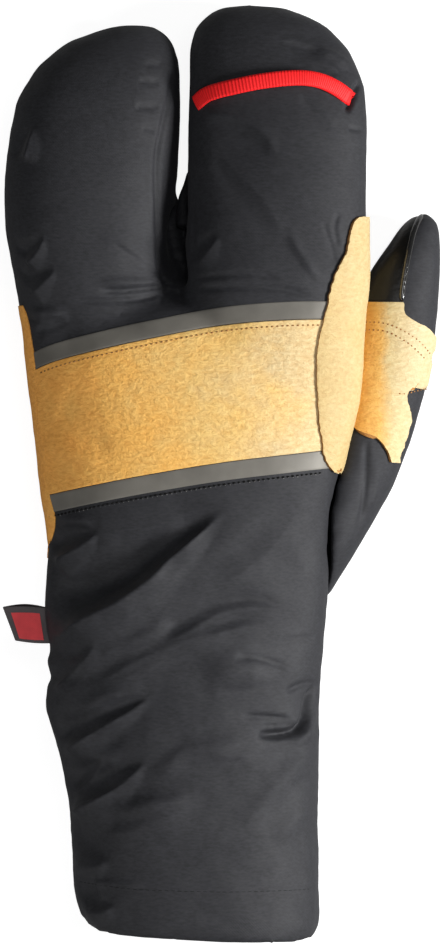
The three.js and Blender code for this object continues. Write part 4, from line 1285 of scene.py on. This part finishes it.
class MITTEN_OT_loop(bpy.types.Operator):
    """Weaves the pull loop over the index side."""

    bl_idname = "mitten.loop"
    bl_label = "Pull loop"
    bl_options = {"REGISTER", "UNDO"}

    def execute(self, context):
        sizes, colours = context.scene.mitten_sizes, context.scene.mitten_colours
        tree = made["cloth"]
        width = sizes.webbing_width / MM
        shares = [(-0.45, 0.64), (-0.377, 0.672), (-0.209, 0.698), (-0.042, 0.716), (0.115, 0.723),
                  (0.226, 0.715), (0.321, 0.69), (0.408, 0.652)]
        x, y, across, length = INDEX_SIDE
        line = spline([(x + a * across, y + b * length) for a, b in shares], 20)
        ground = on_surface(tree, line)
        t = np.linspace(0, 1, len(line))
        lift = 0.9 + 1.3 * np.sin(math.pi * t)
        ups = []
        for x, y in line:
            hit = tree.ray_cast(Vector((x, y, 200)) * MM, Vector((0, 0, -1)))[1]
            ups.append((0, 0, 1) if hit is None else (hit[0] * 0.5, hit[1] * 0.5, 1))
        ups = np.array(ups, float)
        for _ in range(12):
            ups[1:-1] = 0.4 * ups[1:-1] + 0.3 * (ups[:-2] + ups[2:])
        rows = []
        for k in range(len(line)):
            along = ground[min(k + 1, len(line) - 1)] - ground[max(k - 1, 0)]
            along = along / np.linalg.norm(along)
            facing = ups[k] - along * (ups[k] @ along)
            facing = facing / np.linalg.norm(facing)
            aside = np.cross(facing, along)
            for a in np.linspace(-0.5, 0.5, 7):
                bow = 0.25 * (1 - (2 * a) ** 2)
                rows.append(ground[k] + facing * (lift[k] + bow) + aside * a * width)
        grid = np.array(rows).reshape(len(line), 7, 3)
        for _ in range(3):
            grid[1:-1] = 0.5 * grid[1:-1] + 0.25 * (grid[:-2] + grid[2:])
        faces, uvs = [], []
        for r in range(len(line) - 1):
            for c in range(6):
                a = r * 7 + c
                faces.append((a, a + 7, a + 8, a + 1))
                uvs += [(t[r], c / 6), (t[r + 1], c / 6), (t[r + 1], (c + 1) / 6), (t[r], (c + 1) / 6)]
        red = webbing_material(tuple(colours.webbing))
        obj = new_object("pull_loop_webbing", grid.reshape(-1, 3), faces, red)
        layer = obj.data.uv_layers.new(name="along")
        for item, uv in zip(layer.data, uvs):
            item.uv = uv
        wall = obj.modifiers.new("Thickness", "SOLIDIFY")
        wall.thickness = 1.0 * MM
        wall.offset = -1
        evaluated(obj)
        finished(obj, ["pull_loop"])
        return {"FINISHED"}


class MITTEN_OT_label(bpy.types.Operator):
    """Folds the woven tab at the gauntlet's side."""

    bl_idname = "mitten.label"
    bl_label = "Side tab"
    bl_options = {"REGISTER", "UNDO"}

    def execute(self, context):
        corners = placed([(-0.53, 0.511), (-0.4, 0.509), (-0.39, 0.456), (-0.495, 0.46)])
        a, b, c, d = (np.array(p) for p in corners)
        u = np.linspace(0, 1, 30)[None, :, None]
        v = np.linspace(0, 1, 24)[:, None, None]
        xy = (1 - v) * ((1 - u) * d + u * c) + v * ((1 - u) * a + u * b)
        bow = np.sin(math.pi * u)
        xy = xy + np.concatenate([0 * bow, 0.9 * bow], 2) * (v - 0.45)
        z = 26.9 + 0.5 * np.sin(u * 3.0) + 0.35 * np.cos(v * 4.0) - 0.8 * (1 - u) ** 2
        grid = np.concatenate([xy, z + 0 * xy[..., :1]], 2)
        back = grid + np.concatenate([0 * bow, 0.75 * bow, 0 * bow - 1.5], 2) * (0.15 + 0.85 * v)
        back[..., 2] = np.minimum(back[..., 2], grid[..., 2] - 0.9)
        grey = cloth_material("Grey Tab", (0.105, 0.092, 0.095))
        obj = panel("side_tab", [grid], 0.5, 0.7, grey, 0.25)
        finished(obj, ["side_label"])
        dark = cloth_material("Tab Lining", (0.03, 0.02, 0.022))
        finished(panel("side_tab_fold", [back], 0.2, 0.6, dark, 0.2), [])
        block = grid[2:20, 4:23]
        obj = panel("side_tab_block", [block], 0.62, 0.2, cloth_material("Red Weave", (0.92, 0.08, 0.09)), 0.04)
        finished(obj, [])
        return {"FINISHED"}


class MITTEN_OT_stitches(bpy.types.Operator):
    """Stitches the band, the patch, the gauntlet's top and its hem, and lays pale thread flecks beside the
    gauntlet's stitches as painted highlight.
    """

    bl_idname = "mitten.stitches"
    bl_label = "Stitching"
    bl_options = {"REGISTER", "UNDO"}

    def execute(self, context):
        length = context.scene.mitten_sizes.stitch_length / MM
        cloth = made["cloth"]
        band = tree_of(made["knuckle_band_sewn"].data)
        patch = tree_of(made["thumb_patch_sewn"].data)
        x = np.linspace(-63, 35, 120)
        top = np.stack([x, y_at(BAND_TOP, x) - 1.9], 1)
        brown = cloth_material("Brown Thread", (0.3, 0.14, 0.04))
        finished(stitches("band_stitches", [raised(band, top, 0.0)], brown, 1.75, length * 0.6, 0.32),
                 [])
        holes = [
            [(45.5, 52.6), (52, 53.4), (58, 52.6), (63.5, 50.2), (69, 46.6), (72.6, 42.6)],
            [(50, 50.6), (56, 50.4), (61, 48.4), (66, 45.2), (70.5, 41)],
            [(62, 28.4), (67, 28.2), (71, 29.6)],
        ]
        lines = [raised(patch, spline(h, 10), -0.05) for h in holes]
        finished(stitches("patch_stitches", lines, brown, 1.6, length * 0.5, 0.36, 0.3), [])
        black = cloth_material("Black Thread", (0.002, 0.002, 0.002), 2500.0, 0.95)
        x = np.linspace(-60, 34, 120)
        below = np.stack([x, y_at(BAND_BOTTOM, x) - 7.7], 1)
        gauntlet = raised(cloth, below, 0.05)
        flecks = raised(cloth, below - (0.0, 0.45), -0.02)
        x = np.linspace(-49, 30, 100)
        hem = raised(cloth, np.stack([x, np.interp(x, *zip(*HEM_SEAM)) - 0.2], 1), 0.05)
        finished(stitches("gauntlet_stitches", [gauntlet], black, 1.7, length * 0.72, 0.42), [])
        finished(stitches("hem_stitches", [hem], black, 2.2, length, 0.1), [])
        # painted highlight: the short pale thread pieces just below the gauntlet's black stitches stand in for
        # glints on the thread
        pale = cloth_material("Pale Glint Thread", (0.3, 0.29, 0.27), 2500.0, 0.6)
        glints = stitches("gauntlet_thread_glints", [flecks[2:]], pale, 1.7, length * 0.25, 0.11, 0.6)
        finished(glints, [])
        return {"FINISHED"}


class MITTEN_OT_stage(bpy.types.Operator):
    """Sets the pale floor, the soft light and the camera."""

    bl_idname = "mitten.stage"
    bl_label = "Stage"
    bl_options = {"REGISTER", "UNDO"}

    def execute(self, context):
        scene = context.scene
        corners = [(4000 * x, 4000 * y, -0.7) for x, y in ((-1, -1), (1, -1), (1, 1), (-1, 1))]
        floor = new_object("floor", corners, [(0, 1, 2, 3)])
        material, tree, shader, vector = new_material("Pale Floor", 0.9, 0.1)
        cloud = node(tree, "ShaderNodeTexNoise", (-4, 0), {"Vector": vector})
        set_inputs(cloud, Scale=3.0)
        base_colour(tree, shader, cloud.outputs["Fac"], [(0.0, (0.33,) * 3), (1.0, (0.36,) * 3)])
        shader.inputs["Emission Color"].default_value = (1, 1, 1, 1)
        seen = node(tree, "ShaderNodeLightPath", (-4, -2))
        glow = node(tree, "ShaderNodeMapRange", (-2, -2), {"Value": seen.outputs["Is Camera Ray"]})
        set_inputs(glow, To_Min=0.0, To_Max=0.9)
        tree.links.new(glow.outputs["Result"], shader.inputs["Emission Strength"])
        floor.data.materials.append(material)
        world = bpy.data.worlds.new("Soft World")
        world.use_nodes = True
        set_inputs(world.node_tree.nodes["Background"], Color=(0.94, 0.97, 1.0, 1), Strength=0.07)
        scene.world = world
        for name, place, size, power in (
            ("key", (0.81, -0.05, 0.5), 0.28, 14.8),
            ("top", (0.2, 0.35, 1.2), 0.6, 2.9),
            ("side", (-0.55, -0.55, 0.5), 0.25, 2.2),
        ):
            light = bpy.data.lights.new(name, "AREA")
            light.shape = "SQUARE"
            light.size = size
            light.energy = power
            lamp = bpy.data.objects.new(name, light)
            scene.collection.objects.link(lamp)
            lamp.location = place
            lamp.rotation_euler = (Vector((0, 0, 0.02)) - Vector(place)).to_track_quat("-Z", "Y").to_euler()
        camera = bpy.data.cameras.new("camera")
        distance, level = 2.98, 0.02
        camera.sensor_width = 36.0
        camera.lens = camera.sensor_width * distance / (PIXEL * MM * PICTURE_HEIGHT)
        camera.clip_start, camera.clip_end = 0.1, 60
        holder = bpy.data.objects.new("camera", camera)
        scene.collection.objects.link(holder)
        holder.location = (0, 0, distance + level)
        scene.camera = holder
        scene.view_settings.view_transform = "Standard"
        return {"FINISHED"}


class MITTEN_PT_sidebar(bpy.types.Panel):
    """Lists the mitten's sizes, colours and pieces."""

    bl_idname = "MITTEN_PT_sidebar"
    bl_label = "Mitten"
    bl_space_type = "VIEW_3D"
    bl_region_type = "UI"
    bl_category = "Mitten"

    def draw(self, context):
        for group_name in ("mitten_sizes", "mitten_colours"):
            settings = getattr(context.scene, group_name)
            for name in settings.__annotations__:
                self.layout.prop(settings, name)
        for operator in STEPS:
            self.layout.operator(operator.bl_idname)


STEPS = (
    MITTEN_OT_stage,
    MITTEN_OT_cloth,
    MITTEN_OT_gusset,
    MITTEN_OT_band,
    MITTEN_OT_leathers,
    MITTEN_OT_loop,
    MITTEN_OT_label,
    MITTEN_OT_stitches,
)
CLASSES = (MittenSizes, MittenColours, *STEPS, MITTEN_PT_sidebar)


def register():
    for cls in CLASSES:
        bpy.utils.register_class(cls)
    bpy.types.Scene.mitten_sizes = PointerProperty(type=MittenSizes)
    bpy.types.Scene.mitten_colours = PointerProperty(type=MittenColours)


def unregister():
    del bpy.types.Scene.mitten_colours
    del bpy.types.Scene.mitten_sizes
    for cls in reversed(CLASSES):
        bpy.utils.unregister_class(cls)


def main():
    register()
    for operator in STEPS:
        getattr(bpy.ops.mitten, operator.bl_idname.split(".")[1])()


if __name__ == "__main__":
    main()
